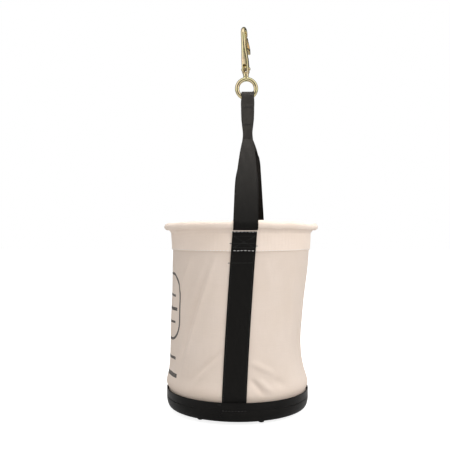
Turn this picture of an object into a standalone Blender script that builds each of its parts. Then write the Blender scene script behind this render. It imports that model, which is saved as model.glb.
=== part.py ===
"""Canvas tool bucket with a moulded pan, a webbing handle and a swivel snap hook.

A round canvas wall stands in a shallow moulded pan on six studs. At the top a canvas
sleeve wraps a stiff hoop and is sewn down as a hem. A web runs up the front and the back
of the wall, over the rim, and up to a folded grip that loops through the round eye of a
swivel snap hook.

Metres, +Z up. The origin is on the ground under the middle of the rim, and the web that
faces the user is at -Y. Angles round the bucket start at the front and grow towards +X.
"""

import math

import bmesh
import bpy
from mathutils import Matrix, Vector

# General
SEGMENTS = 48               # facets of everything turned about the bucket's axis
GAP = 0.0003                # clearance between neighbouring solids
TINY = 1e-6

# Moulded pan
PAN_RADIUS = 0.1522
PAN_WALL = 0.0020
PAN_BOTTOM = 0.0080
PAN_TOP = 0.0470
PAN_FLOOR = 0.0022
PAN_CORNER_WIDTH = 0.0084
PAN_CORNER_HEIGHT = 0.0200
PAN_GROOVE_Z = 0.0310
PAN_GROOVE_HALF = 0.0012
PAN_GROOVE_DEPTH = 0.0007
PAN_CENTRE_X = -0.0078      # the soft wall leans, so the pan is off the rim's centre

# Feet
FOOT_COUNT = 6
FOOT_CIRCLE = 0.1235
FOOT_RADIUS = 0.0065
FOOT_FLAT_RADIUS = 0.0040
FOOT_FIRST_ANGLE = math.radians(21.7)

# Canvas wall: radius of its outer face at heights up the wall
CANVAS = 0.0015
WALL_BOTTOM = 0.0170
WALL_TOP = 0.3805
WALL_STATIONS = (
    (WALL_BOTTOM, 0.1475),
    (0.0490, 0.1475),
    (0.0560, 0.1528),
    (0.0660, 0.1530),
    (0.0850, 0.1506),
    (0.1050, 0.1496),
    (0.1700, 0.1492),
    (0.2500, 0.1486),
    (0.3200, 0.1484),
    (WALL_TOP, 0.1484),
)
DENT_DEPTH = 0.0165         # the wall caves in on the +X side, between pan and hem
DENT_SKEW = 0.68            # below 1, the dent is deepest below mid-height
RIM_SADDLE = 0.0030         # the roll is this much higher at the webs, and lower between
SADDLE_FROM = 0.3700        # height where the saddle begins
SADDLE_TO = 0.3926

# Rim: hem band and roll
HEM_BOTTOM = 0.3420
HEM_INNER = 0.1489
HEM_OUTER = 0.1514
HEM_SHOULDER = 0.3800
ROLL_CIRCLE = 0.1580
ROLL_Z = 0.3926
ROLL_RADIUS = 0.0079
ROLL_START = math.radians(-118.0)
ROLL_END = math.radians(215.0)
HOOP_RADIUS = 0.0055

# Webbing
WEB_HALF_WIDTH = 0.0241
WEB = 0.0016
WEB_BOTTOM = 0.0265
FRONT_ANGLE_LOW = math.radians(-3.4)
FRONT_ANGLE_HIGH = math.radians(1.9)
FRONT_SKEW = 1.4            # above 1, the front web leans most near the top
BACK_ANGLE = math.radians(180.0 - 12.5)
WEB_LEAVES_HEM = 0.3800
WEB_MEETS_ROLL = math.radians(-63.0)
WEB_LEAVES_ROLL = math.radians(42.0)

# Handle: the two strands rise from the rim to the grip
STRAND_LIFT = 0.0130        # from where the web leaves the roll to the strand's lower end
STRAND_TIP_HALF = 0.0040
STRAND_TAPER = 0.0200
APEX = Vector((0.0148, 0.0034, 0.5755))
APEX_HALF_WIDTH = 0.0095
APEX_THICKNESS = 0.0032
NARROWING_STARTS = 0.42     # share of the strand's length where it begins to fold

# Grip: both strands folded and sewn together, with a loop round the eye
GRIP_X = 0.0146
GRIP_BOTTOM = 0.5850
GRIP_STATIONS = (
    (GRIP_BOTTOM, 0.0085, 0.0026),
    (0.5920, 0.0095, 0.0036),
    (0.6070, 0.0122, 0.0038),
    (0.6330, 0.0135, 0.0038),
    (0.6640, 0.0135, 0.0045),
)
LOOP_OUTER = 0.0096
LOOP_INNER = 0.0061
LOOP_HALF_WIDTH = 0.0060

# Swivel eye and hook: built round the loop's centre, on an axis that leans to -X
LOOP_CENTRE = Vector((0.0132, 0.0, 0.6700))
HOOK_LEAN = math.radians(-2.7)
HOOK_YAW = math.radians(72.0)
EYE_CIRCLE = 0.0204
EYE_WIRE = 0.00475
EYE_BOSS_RADIUS = 0.0056
EYE_BOSS_TOP = 0.0461
STEM_RADIUS = 0.0032
STEM_HEAD_RADIUS = 0.0046
STEM_HEAD_BOTTOM = 0.0548
STEM_HEAD_TOP = 0.0570
WASHER_BOTTOM = 0.0530
WASHER_TOP = 0.0545
WASHER_INNER = 0.0036
WASHER_OUTER = 0.0050
NECK_BOTTOM = 0.0465
NECK_BORE = 0.0036
CHAMBER_RADIUS = 0.0054     # room for the stem's head, inside the bottom of the fork
CHAMBER_BOTTOM = 0.0527
CHAMBER_TOP = 0.0580

# Hook body: height, offset towards the gate, half depth, half width, squareness
HOOK_SHANK = (
    (NECK_BOTTOM, 0.0, 0.0060, 0.0060, 2.0),
    (0.0515, 0.0, 0.0063, 0.0063, 2.0),
    (0.0550, 0.0, 0.0074, 0.0077, 3.0),
    (0.0700, -0.0002, 0.0075, 0.0077, 4.0),
    (0.0840, -0.0014, 0.0072, 0.0074, 4.0),
    (0.0960, -0.0042, 0.0062, 0.0064, 3.0),
    (0.1080, -0.0072, 0.0050, 0.0052, 2.4),
    (0.1220, -0.0084, 0.0044, 0.0046, 2.0),
)
BOW_CENTRE_U = 0.0040
BOW_CENTRE_Z = 0.1385
BOW_RADIUS = 0.0125
BOW_STEPS = 12
BOW_HALF = 0.0044
BILL_HALF = 0.0032
BILL_LENGTH = 0.0020

# Fork slot in the shank, and the gate that works in it
SLOT_HALF = 0.0035
RIVET_U = 0.0015
RIVET_Z = 0.0625
RIVET_RADIUS = 0.0022
RIVET_HOLE = 0.0026
RIVET_HEAD_RADIUS = 0.0036
RIVET_HEAD = 0.0017
GATE_HALF = 0.0032
GATE_BARREL = 0.0042
SPRING_POCKET_HALF = 0.0021
SPRING_WIRE = 0.00045
SPRING_CIRCLE = 0.0032
SPRING_TURNS = 3
SPRING_PITCH = 0.00095


def clear_scene():
    """Start from an empty scene."""
    for thing in list(bpy.data.objects):
        bpy.data.objects.remove(thing, do_unlink=True)


def make_material(name, color, roughness, metallic=0.0):
    """A Principled material in the piece's own colour."""
    material = bpy.data.materials.new(name)
    material.use_nodes = True
    shader = material.node_tree.nodes["Principled BSDF"]
    shader.inputs["Base Color"].default_value = (*color, 1.0)
    shader.inputs["Roughness"].default_value = roughness
    shader.inputs["Metallic"].default_value = metallic
    material.diffuse_color = (*color, 1.0)
    return material


def add_empty(name, location, rotation=(0.0, 0.0, 0.0), parent=None):
    """A frame to hang pieces on."""
    empty = bpy.data.objects.new(name, None)
    empty.location = location
    empty.rotation_euler = rotation
    empty.parent = parent
    bpy.context.scene.collection.objects.link(empty)
    return empty


def add_object(name, bm, material, parent=None, smooth=True):
    """Turn a bmesh into a linked object with outward faces."""
    bmesh.ops.recalc_face_normals(bm, faces=bm.faces)
    mesh = bpy.data.meshes.new(name)
    bm.to_mesh(mesh)
    bm.free()
    if smooth:
        mesh.shade_smooth()
        mesh.set_sharp_from_angle(angle=math.radians(35.0))
    mesh.materials.append(material)
    thing = bpy.data.objects.new(name, mesh)
    thing.parent = parent
    bpy.context.scene.collection.objects.link(thing)
    return thing


def as_cutter(thing):
    """Mark an object as a tool that only cuts."""
    thing.hide_render = True
    thing.display_type = "WIRE"
    return thing


def boolean(thing, tool, operation="DIFFERENCE"):
    """Cut or join one object with another, and keep the tool out of the model."""
    modifier = thing.modifiers.new(f"{operation.lower()}_{tool.name}", "BOOLEAN")
    modifier.operation = operation
    modifier.solver = "EXACT"
    modifier.object = as_cutter(tool)


def arc(centre, radius_x, radius_z, start, end, steps):
    """Points on an elliptical arc in the profile plane."""
    points = []
    for step in range(steps + 1):
        angle = start + (end - start) * step / steps
        points.append((centre[0] + radius_x * math.cos(angle), centre[1] + radius_z * math.sin(angle)))
    return points


def turned(profile, closed=True, segments=SEGMENTS):
    """Spin a profile of (radius, height) points about the local Z axis."""
    bm = bmesh.new()
    verts = [bm.verts.new((radius, 0.0, height)) for radius, height in profile]
    edges = [bm.edges.new(pair) for pair in zip(verts, verts[1:])]
    if closed:
        edges.append(bm.edges.new((verts[-1], verts[0])))
    bmesh.ops.spin(
        bm, geom=verts + edges, cent=(0, 0, 0), axis=(0, 0, 1),
        angle=math.tau, steps=segments, use_merge=True,
    )
    bmesh.ops.remove_doubles(bm, verts=bm.verts, dist=TINY)
    return bm


def swept(sections, closed=False):
    """Join equal loops of points into one solid, capped at its ends unless closed."""
    bm = bmesh.new()
    rings = [[bm.verts.new(point) for point in section] for section in sections]
    pairs = list(zip(rings, rings[1:]))
    if closed:
        pairs.append((rings[-1], rings[0]))
    for low, high in pairs:
        for index in range(len(low)):
            after = (index + 1) % len(low)
            bm.faces.new((low[index], low[after], high[after], high[index]))
    if not closed:
        bm.faces.new(rings[0][::-1])
        bm.faces.new(rings[-1])
    return bm


def plate(outline, half_width):
    """Extrude an outline in the local XZ plane evenly to both sides along Y."""
    bm = bmesh.new()
    face = bm.faces.new([bm.verts.new((u, -half_width, z)) for u, z in outline])
    grown = bmesh.ops.extrude_face_region(bm, geom=[face])
    moved = [item for item in grown["geom"] if isinstance(item, bmesh.types.BMVert)]
    bmesh.ops.translate(bm, verts=moved, vec=(0.0, 2.0 * half_width, 0.0))
    return bm


def rod_along_y(radius, half_length, u, z, segments=20):
    """A round rod along the local Y axis."""
    bm = bmesh.new()
    matrix = Matrix.Translation((u, 0.0, z)) @ Matrix.Rotation(math.pi / 2, 4, "X")
    bmesh.ops.create_cone(
        bm, cap_ends=True, segments=segments, radius1=radius, radius2=radius,
        depth=2.0 * half_length, matrix=matrix,
    )
    return bm


def between(stations, height):
    """Read a value at a height from (height, value) stations."""
    for (low_z, low), (high_z, high) in zip(stations, stations[1:]):
        if height <= high_z:
            share = max(0.0, (height - low_z) / (high_z - low_z))
            return low + (high - low) * share
    return stations[-1][1]


def rise(height):
    """0 at the pan's top edge, 1 at the roll."""
    return min(1.0, max(0.0, (height - PAN_TOP) / (ROLL_Z - PAN_TOP)))


def soft_place(radius, angle, height):
    """Place a point of the soft bucket: it leans, its side caves in, and its rim saddles."""
    lift = rise(height)
    saddle = min(1.0, max(0.0, (height - SADDLE_FROM) / (SADDLE_TO - SADDLE_FROM)))
    inward = DENT_DEPTH * max(0.0, math.sin(angle)) ** 2 * math.sin(math.pi * lift ** DENT_SKEW) ** 2
    radius = radius - inward
    return Vector((
        PAN_CENTRE_X * (1.0 - lift) + radius * math.sin(angle),
        -radius * math.cos(angle),
        height + RIM_SADDLE * math.cos(2.0 * angle) * saddle,
    ))


def soften(bm):
    """Move a turned mesh from its nominal place to the soft bucket's place."""
    for vert in bm.verts:
        radius = math.hypot(vert.co.x, vert.co.y)
        vert.co = soft_place(radius, math.atan2(vert.co.x, -vert.co.y), vert.co.z)
    return bm


def make_wall(material):
    """The canvas wall, a plain tube that stands inside the pan."""
    outer = [(radius, height) for height, radius in WALL_STATIONS]
    inner = [(radius - CANVAS, height) for radius, height in reversed(outer)]
    return add_object("canvas_wall", soften(turned(outer + inner)), material)


def make_sleeve(material):
    """The hem band and the roll, one strip of canvas that wraps the hoop and stays open."""
    centre = (ROLL_CIRCLE, ROLL_Z)
    inside = ROLL_RADIUS - CANVAS
    profile = [(HEM_INNER, HEM_BOTTOM), (HEM_OUTER, HEM_BOTTOM), (HEM_OUTER, HEM_SHOULDER)]
    profile += arc(centre, ROLL_RADIUS, ROLL_RADIUS, ROLL_START, ROLL_END, 12)
    profile += arc(centre, inside, inside, ROLL_END, ROLL_START, 10)
    profile.append((HEM_INNER, HEM_SHOULDER + 2.0 * CANVAS))
    return add_object("rim_sleeve", soften(turned(profile)), material)


def make_hoop(material):
    """The stiff hoop inside the roll."""
    profile = arc((ROLL_CIRCLE, ROLL_Z), HOOP_RADIUS, HOOP_RADIUS, 0.0, math.tau, 8)[:-1]
    return add_object("rim_hoop", soften(turned(profile)), material)


def make_pan(material):
    """The moulded pan, with a stitching groove round its wall."""
    inner_radius = PAN_RADIUS - PAN_WALL
    corner = (PAN_RADIUS - PAN_CORNER_WIDTH, PAN_BOTTOM + PAN_CORNER_HEIGHT)
    floor_top = PAN_BOTTOM + PAN_FLOOR
    quarter = math.pi / 2
    profile = [(0.0, PAN_BOTTOM)]
    profile += arc(corner, PAN_CORNER_WIDTH, PAN_CORNER_HEIGHT, -quarter, 0.0, 5)
    profile += [
        (PAN_RADIUS, PAN_GROOVE_Z - PAN_GROOVE_HALF),
        (PAN_RADIUS - PAN_GROOVE_DEPTH, PAN_GROOVE_Z),
        (PAN_RADIUS, PAN_GROOVE_Z + PAN_GROOVE_HALF),
        (PAN_RADIUS, PAN_TOP - PAN_WALL / 3),
        (PAN_RADIUS - PAN_WALL / 3, PAN_TOP),
        (inner_radius, PAN_TOP),
    ]
    inner_height = corner[1] - floor_top
    profile += arc(corner, PAN_CORNER_WIDTH - PAN_WALL, inner_height, 0.0, -quarter, 5)
    profile.append((0.0, floor_top))
    pan = add_object("base_pan", turned(profile, closed=False), material)
    pan.location.x = PAN_CENTRE_X
    return pan


def make_feet(material):
    """Round studs under the pan, flat where they meet the ground."""
    top = PAN_BOTTOM - GAP
    dome = (FOOT_FLAT_RADIUS, top)
    profile = [(0.0, 0.0)]
    profile += arc(dome, FOOT_RADIUS - FOOT_FLAT_RADIUS, top, -math.pi / 2, 0.0, 4)
    profile.append((0.0, top))
    for number in range(FOOT_COUNT):
        foot = add_object(f"foot_{number + 1}", turned(profile, closed=False, segments=14), material)
        angle = FOOT_FIRST_ANGLE + math.tau * number / FOOT_COUNT
        foot.location = (
            PAN_CENTRE_X + FOOT_CIRCLE * math.sin(angle), -FOOT_CIRCLE * math.cos(angle), 0.0,
        )


def web_path():
    """Middle of a sewn web as (radius, height), from inside the pan to the top of the roll."""
    off = GAP + WEB / 2
    path = [(between(WALL_STATIONS, WEB_BOTTOM) + off, WEB_BOTTOM)]
    for height, radius in WALL_STATIONS[1:-1]:
        path.append((radius + off, height))
    path.append((HEM_OUTER + off, HEM_BOTTOM - 2.0 * WEB))
    path.append((HEM_OUTER + off, WEB_LEAVES_HEM))
    reach = ROLL_RADIUS + off
    path += arc((ROLL_CIRCLE, ROLL_Z), reach, reach, WEB_MEETS_ROLL, WEB_LEAVES_ROLL, 6)
    return path


def make_sewn_web(name, angle_low, angle_high, material):
    """A web sewn up the wall and over the rim."""
    path = web_path()
    columns = [-1.0, -0.6, -0.2, 0.2, 0.6, 1.0]
    sections = []
    for index, (radius, height) in enumerate(path):
        before = path[max(index - 1, 0)]
        after = path[min(index + 1, len(path) - 1)]
        run = Vector((after[0] - before[0], after[1] - before[1])).normalized()
        outward = Vector((run.y, -run.x)) * (WEB / 2)
        middle = angle_low + (angle_high - angle_low) * rise(height) ** FRONT_SKEW
        angles = [middle + column * WEB_HALF_WIDTH / radius for column in columns]
        outer = [soft_place(radius + outward.x, angle, height + outward.y) for angle in angles]
        inner = [soft_place(radius - outward.x, angle, height - outward.y) for angle in angles]
        sections.append(outer + inner[::-1])
    add_object(name, swept(sections), material, smooth=False)


def strand_root(angle):
    """Where a web leaves the roll."""
    reach = ROLL_RADIUS + GAP + WEB / 2
    radius = ROLL_CIRCLE + reach * math.cos(WEB_LEAVES_ROLL)
    height = ROLL_Z + reach * math.sin(WEB_LEAVES_ROLL)
    return soft_place(radius, angle, height)


def make_strand(name, angle, side, material, parent):
    """A free strand of web from the rim up to the grip; side is -1 in front, 1 at the back."""
    root = strand_root(angle)
    apex = Vector((APEX.x, side * APEX.y, APEX.z))
    along = (apex - root).normalized()
    start = root + along * STRAND_LIFT
    length = (apex - start).length
    across_low = Vector((math.cos(angle), math.sin(angle), 0.0)) * -side
    across_high = Vector((1.0, 0.0, 0.0))
    shares = (0.0, STRAND_TAPER / length, NARROWING_STARTS, 0.6, 0.75, 0.9, 1.0)
    sections = []
    for share in shares:
        across = across_low.lerp(across_high, share)
        across = (across - along * across.dot(along)).normalized()
        normal = along.cross(across)
        fold = max(0.0, (share - NARROWING_STARTS) / (1.0 - NARROWING_STARTS))
        half = WEB_HALF_WIDTH + (APEX_HALF_WIDTH - WEB_HALF_WIDTH) * fold ** 1.3
        if share == 0.0:
            half = STRAND_TIP_HALF
        thick = (WEB + (APEX_THICKNESS - WEB) * fold) / 2
        middle = start + along * length * share
        corners = ((-half, -thick), (half, -thick), (half, thick), (-half, thick))
        sections.append([middle + across * wide + normal * deep for wide, deep in corners])
    pivot = parent.matrix_basis.translation
    local = [[point - pivot for point in section] for section in sections]
    add_object(name, swept(local), material, parent=parent, smooth=False)


def make_grip(material, parent):
    """The folded grip and its loop, bored for the eye's wire."""
    pivot = parent.matrix_basis.translation
    sections = []
    for height, half_width, half_depth in GRIP_STATIONS:
        corners = ((-1.0, -1.0), (1.0, -1.0), (1.0, 1.0), (-1.0, 1.0))
        sections.append([
            Vector((GRIP_X + wide * half_width, deep * half_depth, height)) - pivot
            for wide, deep in corners
        ])
    grip = add_object("grip_loop", swept(sections), material, parent=parent, smooth=False)

    outline = arc((0.0, 0.0), LOOP_OUTER, LOOP_OUTER, math.radians(-35.0), math.radians(215.0), 14)
    tail = GRIP_STATIONS[-1][2]
    outline += [(-tail, -0.0120), (-0.5 * tail, -0.0200), (0.5 * tail, -0.0200), (tail, -0.0120)]
    turn = Matrix.Translation(LOOP_CENTRE - pivot) @ Matrix.Rotation(HOOK_LEAN, 4, "Y")
    turn = turn @ Matrix.Rotation(math.pi / 2, 4, "Z")
    loop_bm = plate(outline, LOOP_HALF_WIDTH)
    bmesh.ops.transform(loop_bm, matrix=turn, verts=loop_bm.verts)
    loop = add_object("loop_blank", loop_bm, material, parent=parent)
    bore_bm = rod_along_y(LOOP_INNER, 0.03, 0.0, 0.0, segments=24)
    bmesh.ops.transform(bore_bm, matrix=turn, verts=bore_bm.verts)
    bore = add_object("loop_bore", bore_bm, material, parent=parent)
    boolean(grip, loop, "UNION")
    boolean(grip, bore)


def make_eye(material, parent):
    """The round eye, with a boss and the headed stem that the hook turns on."""
    rings = 36
    sections = []
    for ring in range(rings):
        angle = math.tau * ring / rings
        middle = Vector((math.sin(angle), 0.0, -math.cos(angle)))
        section = []
        for x, z in arc((0.0, 0.0), EYE_WIRE, EYE_WIRE, 0.0, math.tau, 12)[:-1]:
            section.append(middle * (EYE_CIRCLE + x) + Vector((0.0, z, EYE_CIRCLE)))
        sections.append(section)
    eye = add_object("swivel_eye", swept(sections, closed=True), material, parent=parent)
    stem_profile = [
        (0.0, 2.0 * EYE_CIRCLE),
        (EYE_BOSS_RADIUS, 2.0 * EYE_CIRCLE),
        (EYE_BOSS_RADIUS, EYE_BOSS_TOP),
        (STEM_RADIUS, EYE_BOSS_TOP),
        (STEM_RADIUS, STEM_HEAD_BOTTOM),
        (STEM_HEAD_RADIUS, STEM_HEAD_BOTTOM),
        (STEM_HEAD_RADIUS, STEM_HEAD_TOP - 0.0008),
        (STEM_HEAD_RADIUS - 0.0010, STEM_HEAD_TOP),
        (0.0, STEM_HEAD_TOP),
    ]
    stem = add_object("stem_blank", turned(stem_profile, closed=False, segments=20), material, parent=parent)
    boolean(eye, stem, "UNION")


def hook_section(u, z, run, half_depth, half_width, power):
    """A superellipse across the hook's centre line, square-cornered as power grows."""
    normal = Vector((run.z, 0.0, -run.x))
    points = []
    for step in range(16):
        angle = math.tau * step / 16
        bulge = (abs(math.cos(angle)) ** power + abs(math.sin(angle)) ** power) ** (-1.0 / power)
        deep = half_depth * bulge * math.cos(angle)
        wide = half_width * bulge * math.sin(angle)
        points.append(Vector((u, 0.0, z)) + normal * deep + Vector((0.0, wide, 0.0)))
    return points


def hook_stations():
    """Shank, spine and bow as (offset, height, half depth, half width, squareness)."""
    stations = [(u, z, depth, width, power) for z, u, depth, width, power in HOOK_SHANK]
    for step in range(1, BOW_STEPS + 1):
        share = step / BOW_STEPS
        angle = math.pi * (1.0 - share)
        half = BOW_HALF + (BILL_HALF - BOW_HALF) * max(0.0, 2.0 * share - 1.0)
        u = BOW_CENTRE_U + BOW_RADIUS * math.cos(angle)
        z = BOW_CENTRE_Z + BOW_RADIUS * math.sin(angle)
        stations.append((u, z, half, half, 2.0))
    stations.append((BOW_CENTRE_U + BOW_RADIUS, BOW_CENTRE_Z - BILL_LENGTH, BILL_HALF * 0.8, BILL_HALF * 0.8, 2.0))
    return stations


def make_hook(material, parent):
    """The hook body: forked shank, spine, bow and bill."""
    stations = hook_stations()
    sections = []
    for index, (u, z, depth, width, power) in enumerate(stations):
        before = stations[max(index - 1, 0)]
        after = stations[min(index + 1, len(stations) - 1)]
        run = Vector((after[0] - before[0], 0.0, after[1] - before[1])).normalized()
        sections.append(hook_section(u, z, run, depth, width, power))
    hook = add_object("hook_body", swept(sections), material, parent=parent)
    slot = [
        (-0.0200, 0.0527), (0.0200, 0.0527), (0.0200, 0.1120), (-0.0018, 0.1120),
        (-0.0030, 0.0960), (-0.0034, 0.0720), (-0.0200, 0.0720),
    ]
    boolean(hook, add_object("slot_cutter", plate(slot, SLOT_HALF), material, parent=parent))
    rivet_hole = rod_along_y(RIVET_HOLE, 0.0120, RIVET_U, RIVET_Z)
    boolean(hook, add_object("rivet_hole_cutter", rivet_hole, material, parent=parent))
    bore = [
        (0.0, NECK_BOTTOM - NECK_BORE), (NECK_BORE, NECK_BOTTOM - NECK_BORE),
        (NECK_BORE, CHAMBER_BOTTOM), (CHAMBER_RADIUS, CHAMBER_BOTTOM),
        (CHAMBER_RADIUS, CHAMBER_TOP), (0.0, CHAMBER_TOP),
    ]
    bore_bm = turned(bore, closed=False, segments=20)
    boolean(hook, add_object("neck_bore_cutter", bore_bm, material, parent=parent))


def make_washer(material, parent):
    """The washer under the stem's head, inside the fork."""
    profile = [
        (WASHER_INNER, WASHER_BOTTOM), (WASHER_OUTER, WASHER_BOTTOM),
        (WASHER_OUTER, WASHER_TOP), (WASHER_INNER, WASHER_TOP),
    ]
    add_object("swivel_washer", turned(profile, segments=20), material, parent=parent)


def make_gate(material, parent):
    """The gate: a bar from the rivet to the bill, with a thumb ramp and a window in it."""
    barrel = arc((RIVET_U, RIVET_Z), GATE_BARREL, GATE_BARREL, math.radians(155.0), math.radians(375.0), 10)
    outline = barrel + [
        (0.0066, 0.0780), (0.0095, 0.0930), (0.0120, 0.0985), (0.0285, 0.0985),
        (0.0310, 0.0955), (0.0345, 0.0960), (0.0350, 0.1060), (0.0175, 0.1342),
        (0.0128, 0.1342), (0.0123, 0.1420), (0.0095, 0.1430), (0.0078, 0.1050),
    ]
    gate = add_object("gate", plate(outline, GATE_HALF), material, parent=parent, smooth=False)
    window = [(0.0122, 0.1290), (0.0118, 0.1025), (0.0298, 0.1025), (0.0303, 0.1070), (0.0166, 0.1290)]
    boolean(gate, add_object("window_cutter", plate(window, 0.01), material, parent=parent))
    bore = rod_along_y(RIVET_HOLE, 0.01, RIVET_U, RIVET_Z)
    boolean(gate, add_object("gate_bore_cutter", bore, material, parent=parent))
    pocket = rod_along_y(GATE_BARREL + 0.0004, SPRING_POCKET_HALF, RIVET_U, RIVET_Z)
    boolean(gate, add_object("spring_pocket_cutter", pocket, material, parent=parent))


def make_rivet(material, parent):
    """The rivet that the gate turns on, headed outside both cheeks of the fork."""
    cheek = 0.0077 + GAP
    end = cheek + RIVET_HEAD
    profile = [
        (0.0, -end), (RIVET_HEAD_RADIUS * 0.7, -end), (RIVET_HEAD_RADIUS, -end + 0.0008),
        (RIVET_HEAD_RADIUS, -cheek), (RIVET_RADIUS, -cheek), (RIVET_RADIUS, cheek),
        (RIVET_HEAD_RADIUS, cheek), (RIVET_HEAD_RADIUS, end - 0.0008),
        (RIVET_HEAD_RADIUS * 0.7, end), (0.0, end),
    ]
    bm = turned(profile, closed=False, segments=16)
    place = Matrix.Translation((RIVET_U, 0.0, RIVET_Z)) @ Matrix.Rotation(math.pi / 2, 4, "X")
    bmesh.ops.transform(bm, matrix=place, verts=bm.verts)
    add_object("gate_rivet", bm, material, parent=parent)


def make_spring(material, parent):
    """The closing spring, a short coil round the rivet in the gate's pocket."""
    steps_per_turn = 14
    total = SPRING_TURNS * steps_per_turn
    sections = []
    for step in range(total + 1):
        angle = math.tau * step / steps_per_turn
        radial = Vector((math.cos(angle), 0.0, math.sin(angle)))
        side = SPRING_PITCH * (step / steps_per_turn - SPRING_TURNS / 2)
        middle = Vector((RIVET_U, side, RIVET_Z)) + radial * SPRING_CIRCLE
        ring = arc((0.0, 0.0), SPRING_WIRE, SPRING_WIRE, 0.0, math.tau, 6)[:-1]
        sections.append([middle + radial * x + Vector((0.0, z, 0.0)) for x, z in ring])
    add_object("gate_spring", swept(sections), material, parent=parent)


def build():
    """Make every piece, from the ground up."""
    clear_scene()
    canvas = make_material("canvas", (0.78, 0.70, 0.60), 0.9)
    moulded = make_material("moulded_plastic", (0.018, 0.017, 0.016), 0.45)
    rubber = make_material("stud_rubber", (0.02, 0.02, 0.02), 0.6)
    hoop = make_material("hoop_plastic", (0.75, 0.75, 0.72), 0.5)
    webbing = make_material("webbing", (0.022, 0.021, 0.020), 0.85)
    zinc = make_material("yellow_zinc", (0.72, 0.60, 0.32), 0.3, 1.0)
    spring_steel = make_material("spring_steel", (0.55, 0.55, 0.53), 0.35, 1.0)

    make_wall(canvas)
    make_sleeve(canvas)
    make_hoop(hoop)
    make_pan(moulded)
    make_feet(rubber)
    make_sewn_web("web_front", FRONT_ANGLE_LOW, FRONT_ANGLE_HIGH, webbing)
    make_sewn_web("web_back", BACK_ANGLE, BACK_ANGLE, webbing)

    roots = (strand_root(FRONT_ANGLE_HIGH) + strand_root(BACK_ANGLE)) / 2
    handle_pivot = add_empty("handle_pivot", roots)
    make_strand("strand_front", FRONT_ANGLE_HIGH, -1.0, webbing, handle_pivot)
    make_strand("strand_back", BACK_ANGLE, 1.0, webbing, handle_pivot)

    grip_pivot = add_empty("grip_pivot", (APEX.x, 0.0, (APEX.z + GRIP_BOTTOM) / 2))
    make_grip(webbing, grip_pivot)

    eye_pivot = add_empty("eye_pivot", LOOP_CENTRE, (0.0, HOOK_LEAN, 0.0))
    make_eye(zinc, eye_pivot)

    swivel_pivot = add_empty("swivel_pivot", (0.0, 0.0, 0.0), (0.0, 0.0, HOOK_YAW), eye_pivot)
    make_hook(zinc, swivel_pivot)
    make_washer(zinc, swivel_pivot)
    make_gate(zinc, swivel_pivot)
    make_rivet(zinc, swivel_pivot)
    make_spring(spring_steel, swivel_pivot)
    bpy.context.view_layer.update()


build()
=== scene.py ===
"""Canvas tool bucket: cloth, webbing, thread, moulded pan and swivel hook round a fixed frame.

Metres, +Z up. The origin is on the ground under the middle of the rim, and the web that
faces the user is at -Y. Angles round the bucket start at the front and grow towards +X.
"""

import math
import random

import bmesh
import bpy
from bpy.props import FloatProperty, FloatVectorProperty, IntProperty, PointerProperty
from bpy.types import Operator, Panel, PropertyGroup
from mathutils import Matrix, Vector, noise


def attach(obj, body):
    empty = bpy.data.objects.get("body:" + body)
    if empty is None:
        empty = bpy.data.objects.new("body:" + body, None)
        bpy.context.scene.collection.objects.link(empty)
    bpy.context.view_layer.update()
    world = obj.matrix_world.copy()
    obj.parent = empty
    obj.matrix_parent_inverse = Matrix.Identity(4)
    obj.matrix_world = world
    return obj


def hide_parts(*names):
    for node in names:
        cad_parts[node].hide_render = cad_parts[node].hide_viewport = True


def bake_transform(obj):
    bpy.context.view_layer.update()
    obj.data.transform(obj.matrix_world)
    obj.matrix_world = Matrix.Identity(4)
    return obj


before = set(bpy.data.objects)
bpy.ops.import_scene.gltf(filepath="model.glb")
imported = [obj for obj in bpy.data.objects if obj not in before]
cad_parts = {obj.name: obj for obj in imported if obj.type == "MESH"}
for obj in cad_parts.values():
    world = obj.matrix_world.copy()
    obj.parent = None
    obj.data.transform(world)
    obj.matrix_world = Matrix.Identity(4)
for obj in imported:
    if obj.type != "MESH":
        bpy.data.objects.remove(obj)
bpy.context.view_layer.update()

bl_info = {
    "name": "Canvas Tool Bucket",
    "version": (1, 0, 0),
    "blender": (4, 5, 0),
    "location": "3D View > Sidebar > Bucket",
    "description": "Builds a canvas tool bucket with a webbing handle and a swivel hook",
    "category": "Object",
}

# Pan and studs, as the frame has them
PAN_RADIUS = 0.1522
PAN_WALL = 0.0020
PAN_BOTTOM = 0.0080
PAN_TOP = 0.0470
PAN_FLOOR = 0.0022
PAN_CORNER_WIDTH = 0.0084
PAN_CORNER_HEIGHT = 0.0200
PAN_GROOVE_Z = 0.0310
PAN_GROOVE_HALF = 0.0014
PAN_GROOVE_DEPTH = 0.0009
PAN_FLOOR_RINGS = (0.060, 0.110, 0.132)
PAN_CENTRE_X = -0.0078
STUD_CIRCLE = 0.1235
STUD_RADIUS = 0.0065
STUD_FLAT = 0.0040
STUD_FIRST_ANGLE = math.radians(21.7)
STUD_COUNT = 6

# Soft bucket: the wall's outer face as (height, radius)
WALL_CUT_RADIUS = 0.1495    # the canvas tube's radius as it was cut
WALL_STATIONS = (
    (0.0170, 0.1475),
    (0.0490, 0.1475),
    (0.0560, 0.1528),
    (0.0660, 0.1530),
    (0.0850, 0.1506),
    (0.1050, 0.1496),
    (0.1700, 0.1492),
    (0.2500, 0.1486),
    (0.3200, 0.1484),
    (0.3805, 0.1484),
)
DENT_DEPTH = 0.0158
DENT_SKEW = 0.62
DENT_POWER = 2.5
LEFT_DENT = 0.0024
LEFT_DENT_START = (0.02, 0.12)      # shares of the rise over which the left dent grows
LEFT_DENT_END = (0.86, 0.96)        # and over which it fades again
RIM_SADDLE = 0.0030
SADDLE_FROM = 0.3700
HEM_BOTTOM = 0.3420
HEM_OUTER = 0.1506
HEM_SHOULDER = 0.3800
HEM_FOLD_Z = HEM_BOTTOM + 0.0014    # middle of the turned-under fold at the hem's foot
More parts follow.
